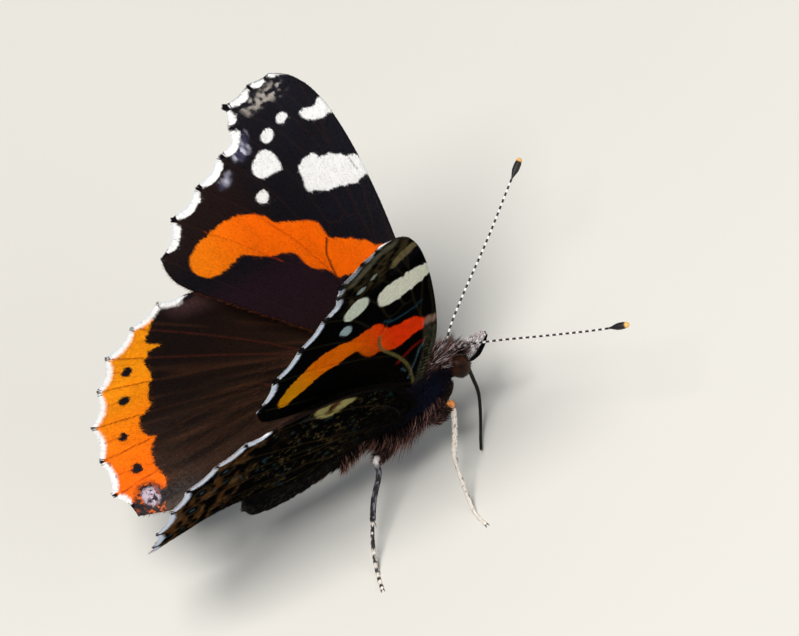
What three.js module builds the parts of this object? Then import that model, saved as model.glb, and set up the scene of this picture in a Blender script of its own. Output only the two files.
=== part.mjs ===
// Red admiral butterfly (Vanessa atalanta), standing with its wings raised and half open.
// Millimetres. +X is towards the head, +Y is the animal's left, +Z is up.
// The origin is on the floor, at the middle of the box that holds the whole animal.
import * as THREE from 'three';
import { CatmullRomCurve3, Vector2, Vector3 } from 'three';

// Body
const BODY_HEIGHT = 8.5;
const GAP = 0.3;
const THORAX_FRONT = 4.4;
const THORAX_REAR = -4.0;
const THORAX_HALF_WIDTH = 2.3;
const THORAX_HALF_HEIGHT = 2.75;
// The thorax is widest here, and its rounded ends would close this far before and behind
const THORAX_MIDDLE = 0.1;
const THORAX_REACH = 4.75;
const THORAX_ROUNDNESS = 2.7;
const THORAX_LIFT = 0.06;
const ABDOMEN_LENGTH = 10.8;
const ABDOMEN_HALF_WIDTH = 1.75;
const ABDOMEN_HALF_HEIGHT = 1.85;
const ABDOMEN_FRONT_DROP = -0.1;
const ABDOMEN_TIP_DROP = 1.4;
const ABDOMEN_SEGMENTS = 7;
// As shares of the widest segment
const ABDOMEN_WAIST = 0.84;
const ABDOMEN_TIP = 0.22;
const SEGMENT_GROOVE = 0.95;

// Head
const HEAD_CENTRE = new Vector3(5.75, 0, 0.1);
const HEAD_RADII = new Vector3(1.25, 1.2, 1.3);
const HEAD_HALF_FLAT = 0.65;
const EYE_RADII = new Vector3(0.88, 0.78, 1.12);
const PALP_RADIUS = 0.43;
const PROBOSCIS_RADIUS = 0.26;
const ANTENNA_RADIUS = 0.26;
const CLUB_RADIUS = 0.46;
const CLUB_LENGTH = 2.3;

// Legs
const FEMUR_RADIUS = 0.42;
const TIBIA_RADIUS = 0.34;
const TARSUS_RADIUS = 0.27;
const FORE_LEG_RADIUS = 0.36;
const SOLE_HEIGHT = 0.12;

// Wings
const MEMBRANE = 0.5;
const VEIN_RISE = 0.15;
const VEIN_HALF_WIDTH = 0.42;
const VEIN_STEP = 1.5;
const EDGE_STEP = 1.7;
const CELL_STEP = 2.6;
// How near to the points already placed a new crest, ridge foot or cell point may lie
const CREST_CLEARANCE = 0.7 * VEIN_HALF_WIDTH;
const FOOT_CLEARANCE = 0.3;
const FOOT_TO_CREST = 0.8 * VEIN_HALF_WIDTH;
const CELL_CLEARANCE = 0.42 * CELL_STEP;
const SMALLEST_FACE = 0.004;

// Each wing's hinge line, how far it is raised above the horizontal, and its outline and veins as
// (span from the hinge, chord forwards of it)
const FOREWING = {
  hinge: new Vector3(2.2, 1.45, 2.3),
  raised: { left: 79, right: 72.7 },
  noseUp: 9.9,
  bow: 0.0017,
  curl: 0,
  costa: [[0.3, 0.9], [4, 3.1], [9, 4.4], [16, 5.4], [22.5, 5.8], [27, 5.5], [29.6, 4.5], [30.8, 3.0]],
  tips: [[30.8, 3.0], [30.8, 1.1], [30.0, -1.6], [28.1, -2.0], [25.9, -4.0], [24.3, -6.7], [22.6, -9.8],
    [19.5, -12.2]],
  scallops: [0.12, 0.3, 0.25, 0.75, 0.4, 0.5, 0.5],
  inner: [[19.5, -12.2], [16.5, -12.0], [12, -8.9], [6, -4.6], [0.3, -1.0]],
  veins: {
    subcosta: [[0.8, 0.7], [5, 2.9], [10, 4.2], [16, 5.1]],
    radius: [[0.8, 0.3], [6, 2.2], [11, 3.1], [15, 3.3], [19, 3.8], [24, 4.5], [28.6, 4.7]],
    radius1: [[11, 3.1], [15.5, 4.3], [20.5, 5.4]],
    radius4: [[22, 4.2], [26.5, 3.9], [30.4, 2.6]],
    radius5: [[17.5, 3.5], [23, 3.4], [27.5, 2.5], [30.4, 1.15]],
    media1: [[15, 3.3], [15.6, 2.4], [21, 2.4], [26.2, 1.1], [29.7, -1.4]],
    media2: [[15.6, 2.4], [15.4, 0.9], [20, 0.6], [24.7, -0.5], [27.9, -1.9]],
    media3: [[15.4, 0.9], [13.6, -0.6], [18, -1.1], [22, -2.1], [25.6, -3.8]],
    cubitus: [[0.8, -0.2], [4, 0.1], [7.5, -0.3], [11, -1.0], [13.6, -0.6]],
    cubitus1: [[11, -1.0], [15, -2.0], [19.5, -3.8], [24, -6.5]],
    cubitus2: [[7.5, -0.3], [12, -2.6], [17.5, -6.1], [22.2, -9.5]],
    anal: [[0.8, -0.6], [5, -2.8], [10, -5.9], [15, -9.1], [19.2, -11.8]],
  },
};
const HINDWING = {
  hinge: new Vector3(-0.9, 3.0, 0.4),
  raised: { left: 72.8, right: 67.8 },
  noseUp: 0,
  bow: -0.001,
  curl: 3.0,
  costa: [[-0.7, 0.9], [2, 1.7], [6, 1.8], [10, 0.8], [13.3, -1.8], [15.1, -5.2], [16.2, -8.8]],
  tips: [[16.2, -8.8], [17.1, -10.9], [16.4, -13.8], [15.2, -16.9], [12.9, -18.9], [10.2, -20.9],
    [7.2, -21.8], [4.2, -22.4], [2.0, -21.5]],
  scallops: [0.2, 0.3, 0.4, 0.45, 0.5, 0.4, 0.4, 0.3],
  inner: [[2.0, -21.5], [0.7, -17], [0.1, -11], [0.0, -6], [-0.7, -1.4]],
  veins: {
    subcosta: [[0, 0.2], [5, 0.4], [10, -1.6], [14.5, -6], [16.9, -10.6]],
    radius: [[0, -0.3], [3.4, -1.6], [8, -5.2], [12.5, -9.6], [16.1, -13.5]],
    media1: [[3.4, -1.6], [6.3, -4.6], [10.6, -10.4], [14.9, -16.5]],
    media2: [[6.3, -4.6], [6.8, -6.2], [9.8, -12], [12.7, -18.5]],
    media3: [[6.8, -6.2], [5.4, -7.7], [7.8, -13.8], [10.0, -20.4]],
    cubitus: [[0.1, -0.9], [1.9, -3.2], [3.4, -5.7], [5.4, -7.7]],
    cubitus1: [[5.4, -7.7], [6.2, -14], [7.1, -21.4]],
    cubitus2: [[3.4, -5.7], [4.1, -13], [4.1, -22.0]],
    anal: [[0.2, -1.5], [1.2, -6], [1.8, -13], [2.1, -20.9]],
  },
};
// The inner field of the hindwing curls towards the body: below this span, behind these chords
const CURL_SPAN = 10;
const CURL_START = 8;
const CURL_FULL = 17;

const model = new THREE.Group();
model.position.z = BODY_HEIGHT;
const sides = { left: 1, right: -1 };

function addMesh(name, geometry, colour, roughness = 0.8) {
  const material = new THREE.MeshStandardMaterial({ color: colour, roughness, metalness: 0 });
  const mesh = new THREE.Mesh(geometry, material);
  mesh.name = name;
  model.add(mesh);
}

function solid(positions, triangles) {
  const geometry = new THREE.BufferGeometry();
  geometry.setAttribute('position', new THREE.Float32BufferAttribute(positions, 3));
  geometry.setIndex(triangles);
  geometry.computeVertexNormals();
  return geometry;
}

// A closed skin over rings of points that run against the clock, seen from the far end
function skinRings(rings) {
  const count = rings[0].length;
  const positions = rings.flat().flatMap((p) => [p.x, p.y, p.z]);
  const triangles = [];
  for (let r = 0; r + 1 < rings.length; r++) {
    for (let i = 0; i < count; i++) {
      const a = r * count + i;
      const b = r * count + (i + 1) % count;
      triangles.push(a, b, b + count, a, b + count, a + count);
    }
  }
  const last = (rings.length - 1) * count;
  for (let i = 1; i + 1 < count; i++) {
    triangles.push(0, i + 1, i, last, last + i, last + i + 1);
  }
  return solid(positions, triangles);
}

// An elliptical ring across the body at x
function bodyRing(x, halfWidth, halfHeight, z, count = 18) {
  const ring = [];
  for (let i = 0; i < count; i++) {
    const angle = (i / count) * 2 * Math.PI;
    ring.push(new Vector3(x, halfWidth * Math.cos(angle), z + halfHeight * Math.sin(angle)));
  }
  return ring;
}

function interpolate(stops, t) {
  const place = Math.min(t * (stops.length - 1), stops.length - 1.0001);
  const index = Math.floor(place);
  return THREE.MathUtils.lerp(stops[index], stops[index + 1], place - index);
}

// A round limb along a curve, its radius read from evenly spaced stops
function limb(points, radii, steps, count = 8, floor = -Infinity) {
  const curve = new CatmullRomCurve3(points.map((p) => new Vector3(...p)), false, 'centripetal');
  const frames = curve.computeFrenetFrames(steps, false);
  const rings = [];
  for (let s = 0; s <= steps; s++) {
    const centre = curve.getPointAt(s / steps);
    const radius = interpolate(radii, s / steps);
    const ring = [];
    for (let i = 0; i < count; i++) {
      const angle = ((i + 0.5) / count) * 2 * Math.PI;
      const point = centre.clone()
        .addScaledVector(frames.normals[s], radius * Math.cos(angle))
        .addScaledVector(frames.binormals[s], radius * Math.sin(angle));
      point.z = Math.max(point.z, floor);
      ring.push(point);
    }
    rings.push(ring);
  }
  return skinRings(rings);
}

function mirrored(points, side) {
  return points.map(([x, y, z]) => [x, y * side, z]);
}

// Thorax and abdomen
function thorax() {
  const rings = [];
  const steps = 12;
  for (let s = 0; s <= steps; s++) {
    const x = THREE.MathUtils.lerp(THORAX_REAR, THORAX_FRONT, s / steps);
    const fullness = Math.sqrt(1 - Math.abs((x - THORAX_MIDDLE) / THORAX_REACH) ** THORAX_ROUNDNESS);
    const z = THORAX_LIFT * Math.max(x, 0) ** 1.2;
    rings.push(bodyRing(x, THORAX_HALF_WIDTH * fullness, THORAX_HALF_HEIGHT * fullness, z));
  }
  return skinRings(rings);
}

function abdomen() {
  const rings = [];
  const front = THORAX_REAR - GAP;
  const ringsPerSegment = 3;
  const steps = ABDOMEN_SEGMENTS * ringsPerSegment;
  for (let s = steps; s >= 0; s--) {
    const t = s / steps;
    const swell = THREE.MathUtils.lerp(ABDOMEN_WAIST, 1, THREE.MathUtils.smoothstep(t, 0, 0.22));
    const taper = (1 - t ** 2.8) ** 0.6;
    const groove = s % ringsPerSegment === 0 ? SEGMENT_GROOVE : 1;
    const fullness = (swell * taper + ABDOMEN_TIP * t) * groove;
    const x = front - ABDOMEN_LENGTH * t;
    const z = ABDOMEN_FRONT_DROP - ABDOMEN_TIP_DROP * t;
    rings.push(bodyRing(x, ABDOMEN_HALF_WIDTH * fullness, ABDOMEN_HALF_HEIGHT * fullness, z, 16));
  }
  return skinRings(rings);
}

// A barrel across the head between its two eye flats, cut flat behind to face the thorax
function head() {
  const profile = [new Vector2(0, -HEAD_HALF_FLAT)];
  const steps = 8;
  for (let s = 0; s <= steps; s++) {
    const y = HEAD_HALF_FLAT * (2 * s / steps - 1);
    profile.push(new Vector2(Math.sqrt(1 - (y / HEAD_RADII.y) ** 2), y));
  }
  profile.push(new Vector2(0, HEAD_HALF_FLAT));
  const geometry = new THREE.LatheGeometry(profile, 20);
  geometry.scale(HEAD_RADII.x, 1, HEAD_RADII.z);
  geometry.translate(HEAD_CENTRE.x, HEAD_CENTRE.y, HEAD_CENTRE.z);
  const position = geometry.attributes.position;
  const nape = THORAX_FRONT + GAP;
  for (let i = 0; i < position.count; i++) {
    position.setX(i, Math.max(position.getX(i), nape));
  }
  return geometry;
}

// A dome with its flat face GAP outside the head's flat
function eye(side) {
  const profile = [new Vector2(0, 0)];
  const steps = 7;
  for (let s = 0; s < steps; s++) {
    const angle = (s / steps) * Math.PI / 2;
    profile.push(new Vector2(Math.cos(angle), Math.sin(angle)));
  }
  profile.push(new Vector2(0, 1));
  const geometry = new THREE.LatheGeometry(profile, 18);
  geometry.scale(EYE_RADII.x, EYE_RADII.y, EYE_RADII.z);
  if (side < 0) {
    geometry.rotateX(Math.PI);
  }
  geometry.translate(HEAD_CENTRE.x, side * (HEAD_HALF_FLAT + GAP), HEAD_CENTRE.z);
  return geometry;
}

function palp(side) {
  const front = HEAD_CENTRE.x + HEAD_RADII.x;
  const path = [
    [front + 0.38, 0.56, -0.02],
    [front + 0.9, 0.58, 0.26],
    [front + 1.6, 0.54, 0.66],
    [front + 2.22, 0.45, 1.05],
  ];
  const radii = [0.8, 1, 0.95, 0.4].map((share) => share * PALP_RADIUS);
  return limb(mirrored(path, side), radii, 9);
}

// Ringed feeler with a flat-ended club
function antenna(side) {
  const path = [
    [HEAD_CENTRE.x + 0.3, 0.6, HEAD_CENTRE.z + 1.6],
    [6.3, 0.76, 2.15],
    [7.0, 1.3, 2.5],
    [8.9, 2.7, 2.95],
    [13.2, 5.95, 3.5],
    [17.0, 8.9, 4.2],
    [18.9, 10.25, 4.65],
  ];
  const points = mirrored(path, side);
  const curve = new CatmullRomCurve3(points.map((p) => new Vector3(...p)), false, 'centripetal');
  const stops = 14;
  const length = curve.getLength();
  const radii = [];
  for (let s = 0; s <= stops; s++) {
    const fromTip = length * (1 - s / stops);
    const swell = THREE.MathUtils.smoothstep(CLUB_LENGTH - fromTip, 0, CLUB_LENGTH * 0.55);
    radii.push(s === stops ? CLUB_RADIUS * 0.6 : THREE.MathUtils.lerp(ANTENNA_RADIUS, CLUB_RADIUS, swell));
  }
  return limb(points, radii, 28);
}

// The feeding tube, let down in front of the chest, its end feeling to the right just above the floor
function proboscis() {
  const path = [
    [6.3, 0, -1.45],
    [6.15, -0.05, -3.2],
    [5.93, -0.2, -4.8],
    [5.4, -0.5, -6.2],
    [4.7, -1.05, -7.4],
    [4.05, -1.9, -7.95],
    [3.6, -2.8, -8.05],
  ];
  return limb(path, [PROBOSCIS_RADIUS, PROBOSCIS_RADIUS], 14);
}

// Reduced fore legs, folded up against the chest
function foreLeg(side) {
  const path = [[2.5, 0.6, -2.95], [3.2, 0.8, -2.6], [3.9, 0.85, -2.1], [4.4, 0.8, -1.6], [4.6, 0.7, -1.3]];
  const radii = [0.83, 1, 0.9, 0.78, 0.7].map((share) => share * FORE_LEG_RADIUS);
  return limb(mirrored(path, side), radii, 10);
}

// Each walking leg leaves the chest low on its side, rises to a knee, and goes down and out to the floor
function walkingLeg(path, side) {
  const stops = [FEMUR_RADIUS * 0.8, FEMUR_RADIUS, FEMUR_RADIUS, TIBIA_RADIUS, TIBIA_RADIUS, TIBIA_RADIUS,
    TARSUS_RADIUS, TARSUS_RADIUS, TARSUS_RADIUS, TARSUS_RADIUS];
  return limb(mirrored(path, side), stops, 22, 8, -BODY_HEIGHT);
}

const SOLE = SOLE_HEIGHT - BODY_HEIGHT;
const MID_LEG = [[1.55, 2.17, -1.95], [2.3, 2.55, -1.85], [3.1, 2.7, -1.25], [3.6, 2.85, -0.85],
  [3.25, 3.2, -2.0], [2.25, 4.1, -3.55], [1.5, 4.75, -4.5], [0.95, 5.95, -6.4], [0.6, 7.0, -7.8],
  [0.5, 7.8, SOLE], [0.75, 9.3, SOLE]];
const HIND_LEG = [[-2.2, 1.9, -2.12], [-2.9, 2.3, -2.25], [-3.5, 2.65, -2.05], [-3.95, 2.95, -1.7],
  [-4.3, 3.3, -2.85], [-5.8, 4.2, -4.3], [-6.8, 5.1, -5.4], [-7.65, 5.95, -6.45], [-8.4, 6.95, -7.7],
  [-8.8, 7.8, SOLE], [-9.1, 9.2, SOLE]];

// Wing surface: the point at a span and chord, lifted off the middle of the membrane
function wingSurface(wing, sideName) {
  const side = sides[sideName];
  const raised = THREE.MathUtils.degToRad(wing.raised[sideName]);
  const pitch = THREE.MathUtils.degToRad(wing.noseUp);
  const spanwise = new Vector3(0, side * Math.cos(raised), Math.sin(raised));
  const inward = new Vector3(0, -side * Math.sin(raised), Math.cos(raised));
  const chordwise = new Vector3(Math.cos(pitch), 0, 0).addScaledVector(inward, Math.sin(pitch));
  const upper = new Vector3(-Math.sin(pitch), 0, 0).addScaledVector(inward, Math.cos(pitch));
  return (span, chord, lift) => {
    const fold = THREE.MathUtils.smoothstep(-chord, CURL_START, CURL_FULL);
    const inner = Math.max(0, (CURL_SPAN - span) / CURL_SPAN);
    const height = wing.curl * fold * inner * inner - wing.bow * span * span;
    return wing.hinge.clone().multiply(new Vector3(1, side, 1))
      .addScaledVector(spanwise, span)
      .addScaledVector(chordwise, chord)
      .addScaledVector(upper, height + lift);
  };
}

// Even points along a smooth line through the given ones
function smoothLine(points, step) {
  const curve = new THREE.SplineCurve(points.map((p) => new Vector2(...p)));
  const count = Math.max(1, Math.round(curve.getLength() / step));
  return curve.getSpacedPoints(count);
}

// Inward arcs between the vein tips on the outer margin
function scallops(tips, depths) {
  const steps = 4;
  const line = [];
  depths.forEach((depth, index) => {
    const start = new Vector2(...tips[index]);
    const end = new Vector2(...tips[index + 1]);
    const along = end.clone().sub(start);
    const inward = new Vector2(along.y, -along.x).normalize();
    for (let s = 0; s < steps; s++) {
      const t = s / steps;
      const notch = depth * Math.sin(Math.PI * t);
      line.push(start.clone().addScaledVector(along, t).addScaledVector(inward, notch));
    }
  });
  return line;
}

function insideOutline(outline, point) {
  let inside = false;
  outline.forEach((a, index) => {
    const b = outline[(index + 1) % outline.length];
    if ((a.y > point.y) !== (b.y > point.y)) {
      const crossing = a.x + (point.y - a.y) * (b.x - a.x) / (b.y - a.y);
      inside = point.x < crossing ? !inside : inside;
    }
  });
  return inside;
}

function nearest(points, point) {
  return Math.min(...points.map((other) => other.distanceTo(point)));
}

// Delaunay triangles over flat points: each new point replaces the triangles whose circle holds it
function triangulate(points) {
  const far = 1000;
  const corners = [new Vector2(-far, -far), new Vector2(far, -far), new Vector2(0, far)];
  const all = [...points, ...corners];
  const n = points.length;
  const circle = (ids) => {
    const [a, b, c] = ids.map((id) => all[id]);
    const ab = b.clone().sub(a);
    const ac = c.clone().sub(a);
    const d = 2 * ab.cross(ac);
    const ux = (ac.y * ab.lengthSq() - ab.y * ac.lengthSq()) / d;
    const uy = (ab.x * ac.lengthSq() - ac.x * ab.lengthSq()) / d;
    return { ids, x: a.x + ux, y: a.y + uy, reach: ux * ux + uy * uy };
  };
  let faces = [circle([n, n + 1, n + 2])];
  points.forEach((point, id) => {
    const holds = (face) => (point.x - face.x) ** 2 + (point.y - face.y) ** 2 < face.reach;
    const hit = faces.filter(holds);
    const edges = hit.flatMap(({ ids: [a, b, c] }) => [[a, b], [b, c], [c, a]]);
    const names = new Set(edges.map(([a, b]) => `${a} ${b}`));
    const rim = edges.filter(([a, b]) => !names.has(`${b} ${a}`));
    faces = faces.filter((face) => !holds(face)).concat(rim.map(([a, b]) => circle([a, b, id])));
  });
  return faces.map((face) => face.ids).filter((ids) => Math.max(...ids) < n);
}

// A thin vane: the same triangles on both faces, with the veins raised as ridges on each
function wingSolid(wing, sideName) {
  const rim = [
    ...smoothLine(wing.costa, EDGE_STEP).slice(0, -1),
    ...scallops(wing.tips, wing.scallops),
    ...smoothLine(wing.inner, EDGE_STEP),
  ];
  const points = rim.map((point) => ({ point, rise: 0 }));
  const lines = Object.values(wing.veins).map((vein) => smoothLine(vein, VEIN_STEP));
  const clearOf = (point, reach) => nearest(points.map((p) => p.point), point) > reach;
  lines.flat().forEach((point) => {
    if (clearOf(point, CREST_CLEARANCE)) {
      points.push({ point, rise: VEIN_RISE });
    }
  });
  const crests = lines.flatMap((line) => line.slice(1).flatMap((point, index) => [0, 0.25, 0.5, 0.75, 1]
    .map((t) => line[index].clone().lerp(point, t))));
  const jitter = new Vector2(0.003, 0.002);
  lines.forEach((line) => line.slice(0, -1).forEach((point, index) => {
    const along = line[index + 1].clone().sub(point);
    const across = new Vector2(-along.y, along.x).normalize();
    [1, -1].forEach((sign) => {
      const foot = point.clone().addScaledVector(along, 0.5)
        .addScaledVector(across, sign * VEIN_HALF_WIDTH).addScaledVector(jitter, index);
      const clear = clearOf(foot, FOOT_CLEARANCE) && nearest(crests, foot) > FOOT_TO_CREST;
      if (clear && insideOutline(rim, foot)) {
        points.push({ point: foot, rise: 0 });
      }
    });
  }));
  const box = new THREE.Box2().setFromPoints(rim);
  for (let u = box.min.x; u < box.max.x; u += CELL_STEP) {
    for (let v = box.min.y; v < box.max.y; v += CELL_STEP) {
      const point = new Vector2(u + 0.017 * v, v + 0.013 * u);
      if (insideOutline(rim, point) && clearOf(point, CELL_CLEARANCE)) {
        points.push({ point, rise: 0 });
      }
    }
  }
  const flat = points.map((p) => p.point);
  const faces = triangulate(flat).filter((ids) => {
    const [a, b, c] = ids.map((id) => flat[id]);
    const centre = a.clone().add(b).add(c).divideScalar(3);
    const area = b.clone().sub(a).cross(c.clone().sub(a)) / 2;
    return area > SMALLEST_FACE && insideOutline(rim, centre);
  });
  return thicken(faces, points, wingSurface(wing, sideName), sides[sideName]);
}

function thicken(faces, points, surface, side) {
  const count = points.length;
  const half = MEMBRANE / 2;
  const place = (sign) => points.flatMap(({ point, rise }) => {
    const lift = sign * (half + rise);
    return surface(point.x, point.y, lift).toArray();
  });
  const positions = [...place(1), ...place(-1)];
  const triangles = [];
  const edges = new Set(faces.flatMap(([a, b, c]) => [`${a} ${b}`, `${b} ${c}`, `${c} ${a}`]));
  const addFace = (a, b, c) => (side > 0 ? triangles.push(a, c, b) : triangles.push(a, b, c));
  faces.forEach(([a, b, c]) => {
    addFace(a, b, c);
    addFace(a + count, c + count, b + count);
    [[a, b], [b, c], [c, a]].filter(([p, q]) => !edges.has(`${q} ${p}`)).forEach(([p, q]) => {
      addFace(q, p, p + count);
      addFace(q, p + count, q + count);
    });
  });
  return solid(positions, triangles);
}

addMesh('thorax', thorax(), '#2a2224');
addMesh('abdomen', abdomen(), '#241c1b');
addMesh('head', head(), '#2b2120');
addMesh('proboscis', proboscis(), '#241a16', 0.5);
Object.entries(sides).forEach(([name, side]) => {
  addMesh(`eye_${name}`, eye(side), '#3a2218', 0.35);
  addMesh(`palp_${name}`, palp(side), '#5b463f');
  addMesh(`antenna_${name}`, antenna(side), '#1c1613', 0.6);
  addMesh(`fore_leg_${name}`, foreLeg(side), '#3d322c');
  addMesh(`mid_leg_${name}`, walkingLeg(MID_LEG, side), '#8a8178', 0.7);
  addMesh(`hind_leg_${name}`, walkingLeg(HIND_LEG, side), '#5d554e', 0.7);
  addMesh(`forewing_${name}`, wingSolid(FOREWING, name), '#d9531e');
  addMesh(`hindwing_${name}`, wingSolid(HINDWING, name), '#3a241c');
});

const box = new THREE.Box3().setFromObject(model, true);
model.position.x = -(box.min.x + box.max.x) / 2;
model.position.y = -(box.min.y + box.max.y) / 2;

export default model;
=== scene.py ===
# Looks of the red admiral: scaled wings with their markings, a furry body, compound eyes,
# ringed feelers and jointed legs, on a pale floor in soft light.
import math

import bmesh
import bpy
import numpy as np
from mathutils import Matrix, Vector
from mathutils.geometry import delaunay_2d_cdt


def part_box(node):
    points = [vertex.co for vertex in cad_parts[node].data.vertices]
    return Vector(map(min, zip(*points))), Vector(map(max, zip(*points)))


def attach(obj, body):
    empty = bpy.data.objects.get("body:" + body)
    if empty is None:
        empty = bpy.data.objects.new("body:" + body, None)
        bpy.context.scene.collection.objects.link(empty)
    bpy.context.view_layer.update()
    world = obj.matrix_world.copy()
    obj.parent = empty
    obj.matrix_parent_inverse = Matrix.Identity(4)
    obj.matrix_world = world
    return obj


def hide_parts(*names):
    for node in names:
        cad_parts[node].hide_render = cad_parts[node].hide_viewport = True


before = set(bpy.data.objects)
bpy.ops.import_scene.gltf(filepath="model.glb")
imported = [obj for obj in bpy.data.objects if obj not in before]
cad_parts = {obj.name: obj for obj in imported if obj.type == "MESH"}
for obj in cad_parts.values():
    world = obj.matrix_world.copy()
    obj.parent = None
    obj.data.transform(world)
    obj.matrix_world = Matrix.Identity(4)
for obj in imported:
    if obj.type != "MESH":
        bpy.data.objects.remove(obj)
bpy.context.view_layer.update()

# Everything is worked out in millimetres from the middle of the thorax, then placed in metres
MM = 0.001
BODY_HEIGHT = 8.5
THORAX_REAR = -4.0
THORAX_FRONT = 4.4
thorax_low, thorax_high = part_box("thorax")
BODY = np.array([
    thorax_low.x / MM - THORAX_REAR,
    (thorax_low.y + thorax_high.y) / 2 / MM,
    BODY_HEIGHT,
])
SIDES = {"left": 1, "right": -1}

# View of the photograph: the camera looks down on the animal's right side, and is rolled
CAMERA_ELEVATION = math.radians(50.7)
CAMERA_ROLL = math.radians(32.5)
CAMERA_DISTANCE = 1000.0
CAMERA_LENS = 561.6
CAMERA_SENSOR = 36.0
AIM_RIGHT = 0.375
AIM_UP = 6.45

# Head and its parts
HEAD_CENTRE = np.array([5.75, 0.0, 0.1])
HEAD_RADII = np.array([1.25, 1.2, 1.3])
EYE_RADII = np.array([0.88, 0.96, 1.12])
EYE_SPREAD = 0.77

# Wings
MEMBRANE_HALF = 0.05
FRINGE_INSET = 0.42
SCALE_ROW = 0.12
SCALE_SPACING = 0.13
RIM_CHECK_STEP = 0.5
HAIR_STEP = 0.03

# Seeds of the random draws
SEEDS = {
    "noise": 11, "scales": 71, "fringe": 83, "wing_hairs": 87, "scale_roots": 90, "thorax_fur": 101,
    "abdomen_fur": 103, "head_fur": 105, "belly_fur": 107, "collar_fur": 109, "wing_base": 131,
    "eyes": 141, "palps": 151, "legs": 161, "brush_legs": 171,
}


def smoothstep(value, low, high):
    t = np.clip((value - low) / (high - low), 0, 1)
    return t * t * (3 - 2 * t)


def unit(vectors):
    return vectors / np.maximum(np.linalg.norm(vectors, axis=-1, keepdims=True), 1e-9)


def mix(first, second, share):
    share = np.asarray(share)[..., None]
    return first * (1 - share) + second * share


def turned(vectors):
    """Flat vectors, a quarter turn to the left."""
    return np.column_stack([-vectors[:, 1], vectors[:, 0]])


def srgb(red, green, blue):
    """A colour of 0 to 255 as linear light."""
    value = np.array([red, green, blue]) / 255
    return np.where(value <= 0.04045, value / 12.92, ((value + 0.055) / 1.055) ** 2.4)


def distances(line):
    """How far along a polyline each of its points is."""
    return np.concatenate([[0], np.cumsum(np.linalg.norm(np.diff(line, axis=0), axis=1))])


def read_line(places, along, values):
    """Values that are given along a line, read at other places on it."""
    return np.column_stack([np.interp(places, along, column) for column in values.T])


def resample(line, step):
    """Even points along a polyline, both ends kept."""
    along = distances(line)
    count = max(1, round(along[-1] / step))
    return read_line(np.linspace(0, along[-1], count + 1), along, line)


SPAN_POINTS = 12


def smooth_line(points, step):
    """Even points on a uniform Catmull-Rom curve, for flat outlines and veins."""
    points = np.array(points, float)
    padded = np.vstack([points[:1], points, points[-1:]])
    t = np.linspace(0, 1, SPAN_POINTS, endpoint=False)[:, None]
    spans = []
    for a, b, c, d in zip(padded, padded[1:], padded[2:], padded[3:]):
        bend = (2 * a - 5 * b + 4 * c - d) * t ** 2 + (3 * b - a - 3 * c + d) * t ** 3
        spans.append(0.5 * (2 * b + (c - a) * t + bend))
    return resample(np.vstack(spans + [points[-1:]]), step)


def bent_line(points, step):
    """Even points on a centripetal Catmull-Rom curve, for limbs."""
    points = np.array(points, float)
    padded = np.vstack([2 * points[0] - points[1], points, 2 * points[-1] - points[-2]])
    gaps = np.sqrt(np.linalg.norm(np.diff(padded, axis=0), axis=1))
    t = np.linspace(0, 1, SPAN_POINTS, endpoint=False)[:, None]
    spans = []
    for i in range(len(points) - 1):
        a, b, c, d = padded[i:i + 4]
        p, q, r = gaps[i:i + 3]
        leave = ((b - a) / p - (c - a) / (p + q) + (c - b) / q) * q
        arrive = ((c - b) / q - (d - b) / (q + r) + (d - c) / r) * q
        rise = (3 * (c - b) - 2 * leave - arrive) * t ** 2
        spans.append(b + leave * t + rise + (2 * (b - c) + leave + arrive) * t ** 3)
    return resample(np.vstack(spans + [points[-1:]]), step)


NOISE_SIZE = 128
NOISE_TABLE = np.random.default_rng(SEEDS["noise"]).random((NOISE_SIZE, NOISE_SIZE))


def noise(x, y, seed=0):
    """Smooth value noise from 0 to 1, one cell a unit."""
    x = x + 17.3 * seed
    y = y + 9.1 * seed
    column = np.floor(x).astype(int)
    row = np.floor(y).astype(int)
    fx = smoothstep(x - column, 0, 1)
    fy = smoothstep(y - row, 0, 1)
    total = 0
    for dx, wx in ((0, 1 - fx), (1, fx)):
        for dy, wy in ((0, 1 - fy), (1, fy)):
            total = total + wx * wy * NOISE_TABLE[(column + dx) % NOISE_SIZE, (row + dy) % NOISE_SIZE]
    return total


def rounded(polygon):
    """A closed outline with its corners cut twice."""
    points = np.array(polygon, float)
    for _ in range(2):
        after = np.roll(points, -1, axis=0)
        points = np.stack([0.75 * points + 0.25 * after, 0.25 * points + 0.75 * after], axis=1).reshape(-1, 2)
    return points


def line_distance(line, u, v):
    """Distance of each flat point from a polyline."""
    best = np.full(len(u), 1e9)
    for (au, av), (bu, bv) in zip(line[:-1], line[1:]):
        du = bu - au
        dv = bv - av
        t = np.clip(((u - au) * du + (v - av) * dv) / (du * du + dv * dv + 1e-12), 0, 1)
        best = np.minimum(best, np.hypot(u - au - t * du, v - av - t * dv))
    return best


def inside_distance(polygon, u, v):
    """Signed distance to a closed outline, positive inside."""
    polygon = np.asarray(polygon, float)
    closed = np.vstack([polygon, polygon[:1]])
    inside = np.zeros(len(u), bool)
    for (au, av), (bu, bv) in zip(closed[:-1], closed[1:]):
        if av != bv:
            crossing = au + (v - av) * (bu - au) / (bv - av)
            inside ^= ((av > v) != (bv > v)) & (u < crossing)
    return np.where(inside, 1, -1) * line_distance(closed, u, v)


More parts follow.
